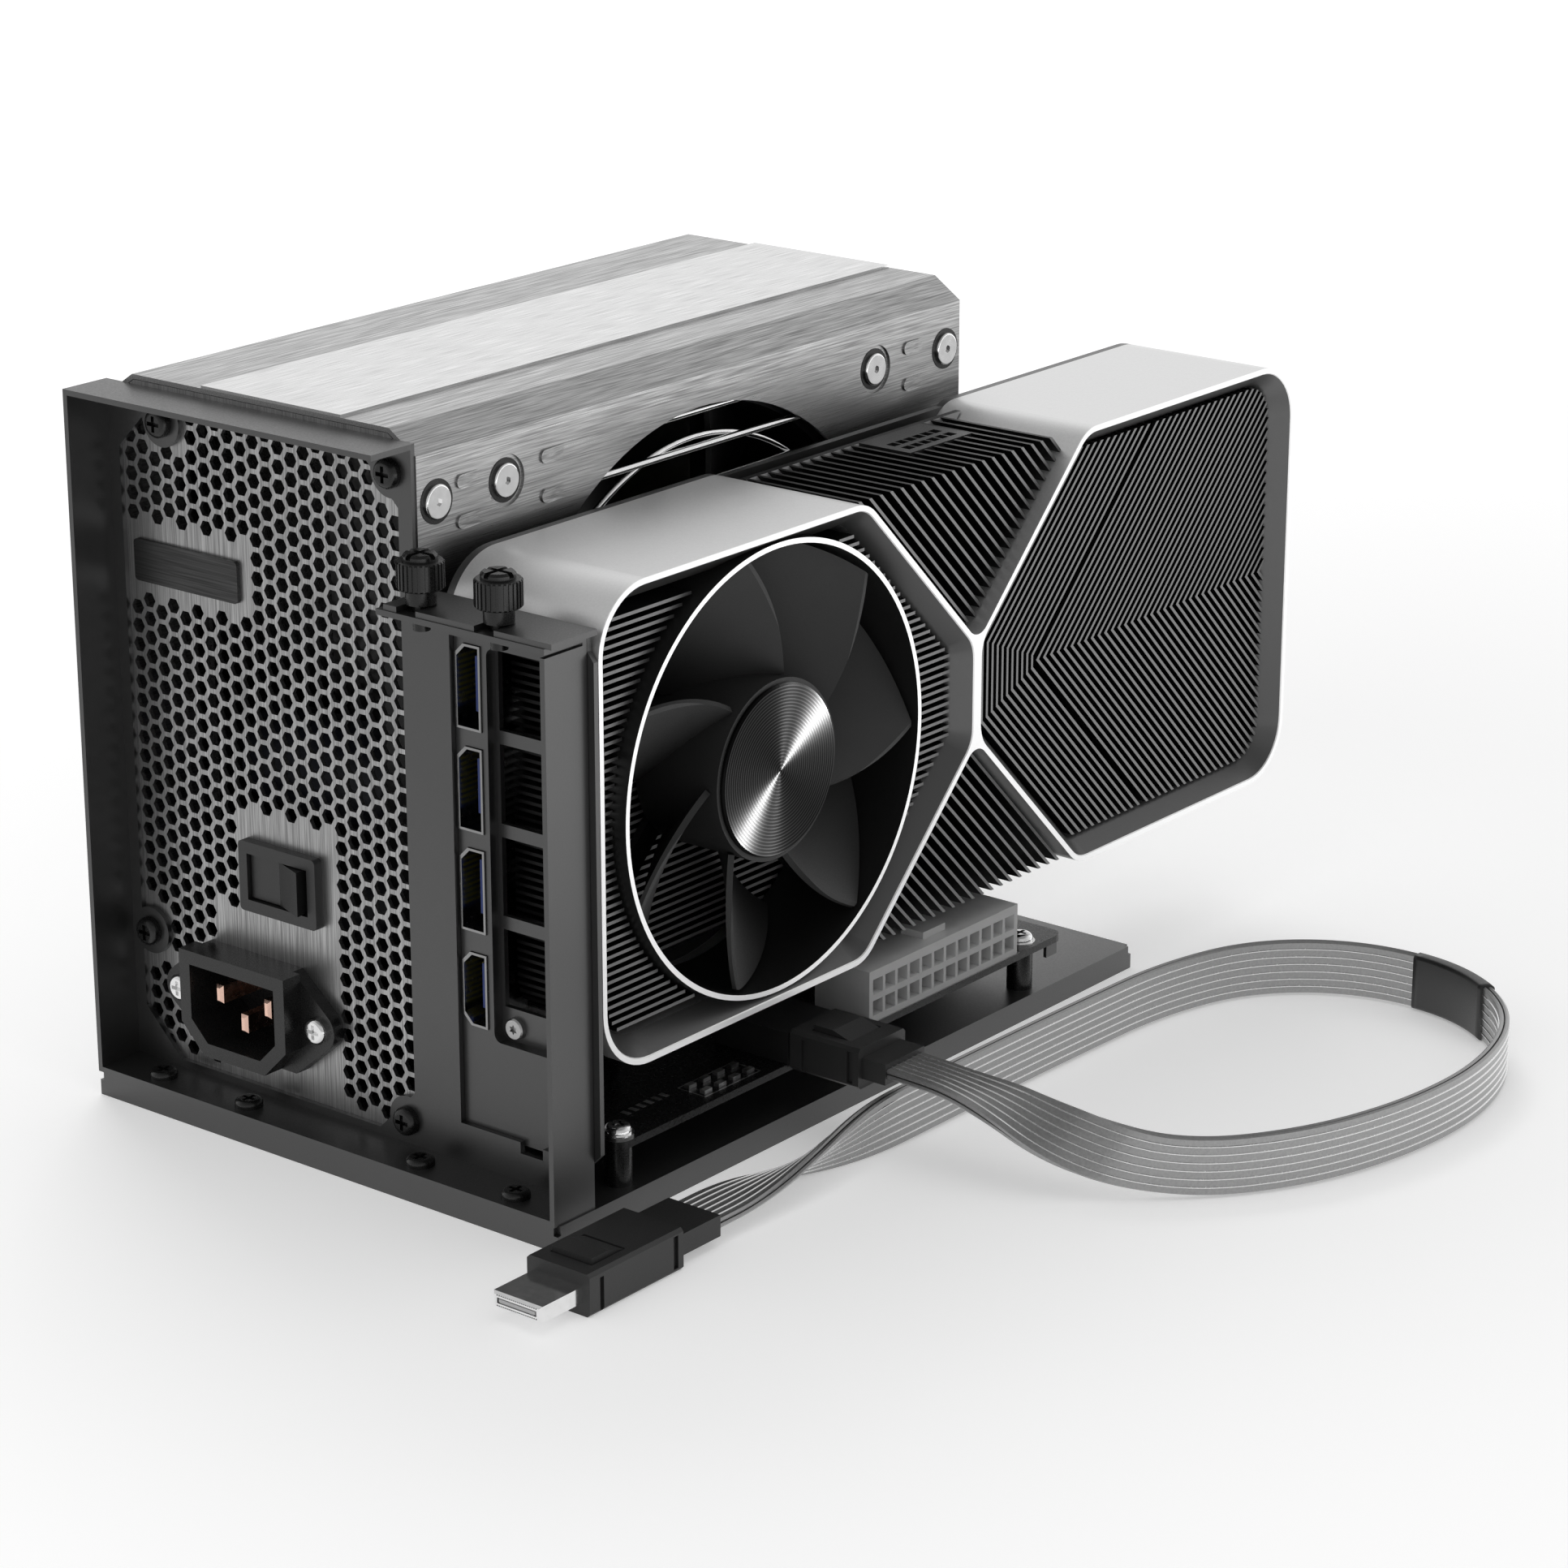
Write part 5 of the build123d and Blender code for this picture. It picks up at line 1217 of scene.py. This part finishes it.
floor_paper, floor_shader = start_finish("floor_paper", grey(0.84), 0.0, 0.9)
floor_rays = add_node(floor_paper, "LightPath")
floor_spot = add_node(floor_paper, "TexCoord").outputs["Object"]
toward_front = measured(floor_paper, "DOT_PRODUCT", floor_spot, front_left)
mirror_level = spread(floor_paper, toward_front, *front_band, mirror_back, mirror_front)
mirrored = joined(floor_paper, "MULTIPLY", mirror_share(floor_paper, floor_rays), mirror_level)
seen = joined(floor_paper, "MAXIMUM", mirrored, floor_rays.outputs["Is Camera Ray"])
from_back = measured(floor_paper, "DISTANCE", floor_spot, glow_middle)
fade = spread(floor_paper, from_back, 0.0, glow_reach, glow_near, glow_far)
glow = add_node(floor_paper, "Emission")
glow.inputs["Color"].default_value = (1.0, 1.0, 1.0, 1.0)
connect(joined(floor_paper, "MULTIPLY", fade, seen), glow.inputs["Strength"])
both = add_node(floor_paper, "AddShader")
connect(floor_shader.outputs["BSDF"], both.inputs[0])
connect(glow.outputs["Emission"], both.inputs[1])
paper_output = floor_paper.node_tree.nodes["Material Output"]
connect(both.outputs["Shader"], paper_output.inputs["Surface"])
floor_mesh.materials.append(floor_paper)
print("floor made")

# %% [markdown]
# ## Studio sky
# The sky is plain white to the camera and gives a soft, even light to everything else.
# Reflections see a room instead: it is brightest low down behind the dock on the left,
# and darker overhead and on the camera's side. Flat white there would wash out the brushed metal.

# %% Sky
sky_light = 0.50
white_level = 1.0
bright_side = (-0.63, 0.78, 0.0)
overhead_band = (0.55, 0.85)
overhead_level = 0.36
back_band = (-0.5, 0.75)
camera_side_level = 0.5
back_level = 1.06
world = bpy.data.worlds.new("studio")
bpy.context.scene.world = world
world.use_nodes = True
background = world.node_tree.nodes["Background"]
background.inputs["Color"].default_value = (1.0, 1.0, 1.0, 1.0)
sky_way = add_node(world, "TexCoord").outputs["Generated"]
sky_parts = add_node(world, "SeparateXYZ")
connect(sky_way, sky_parts.inputs["Vector"])
overhead = spread(world, sky_parts.outputs["Z"], *overhead_band, 1.0, overhead_level)
toward_back = measured(world, "DOT_PRODUCT", sky_way, bright_side)
around = spread(world, toward_back, *back_band, camera_side_level, back_level)
sky_rays = add_node(world, "LightPath")


def mix_levels(share, first, second):
    """Level that goes from one to another with a share; each may be a number or a field."""
    node = add_node(world, "Mix", data_type="FLOAT")
    connect(share, node.inputs["Factor"])
    for name, level in (("A", first), ("B", second)):
        if isinstance(level, float):
            node.inputs[name].default_value = level
        else:
            connect(level, node.inputs[name])
    return node.outputs["Result"]


room = joined(world, "MULTIPLY", overhead, around)
level = mix_levels(mirror_share(world, sky_rays), sky_light, room)
level = mix_levels(sky_rays.outputs["Is Camera Ray"], level, white_level)
connect(level, background.inputs["Strength"])
print("sky made")

# %% [markdown]
# ## Lamps
# The key lamp stands behind the dock on the left, so the soft shadow falls to the right and to the front.
# A weak lamp fills from above. Both are left out of reflections, because they would clip to white
# on the pale metal. Two small panels behind the dock on the right, one low and one higher,
# are linked to the turned cap alone: they give its rings something bright to stretch.

# %% Lamps


def soft_lamp(name, spot, target, size, power, only=None):
    """Area lamp aimed at a point, out of the picture; it may be a panel that lights one solid alone."""
    lamp = bpy.data.lights.new(name, "AREA")
    lamp.shape = "RECTANGLE"
    lamp.size, lamp.size_y = size
    lamp.energy = power
    lamp_object = add_object(name, lamp)
    lamp_object.location = spot
    lamp_object.rotation_euler = (Vector(target) - Vector(spot)).to_track_quat("-Z", "Y").to_euler()
    lamp_object.visible_camera = False
    lamp_object.visible_glossy = only is not None
    if only is not None:
        lit = bpy.data.collections.new(name)
        lit.objects.link(only)
        lamp_object.light_linking.receiver_collection = lit


dock_middle = (0.0, 0.0, 0.08)
soft_lamp("lamp_key", (-1.2, 0.9, 1.5), dock_middle, (1.2, 1.2), 13.0)
soft_lamp("lamp_above", (0.1, -0.1, 2.0), dock_middle, (1.6, 1.6), 5.0)
soft_lamp("lamp_low", (0.155, 0.376, 0.020), cap_middle, (0.155, 0.03), 7.0, cap)
soft_lamp("lamp_side", (0.47, 0.70, 0.335), cap_middle, (0.3, 0.16), 5.5, cap)
bpy.context.scene.view_settings.view_transform = "Standard"
print("lamps set")
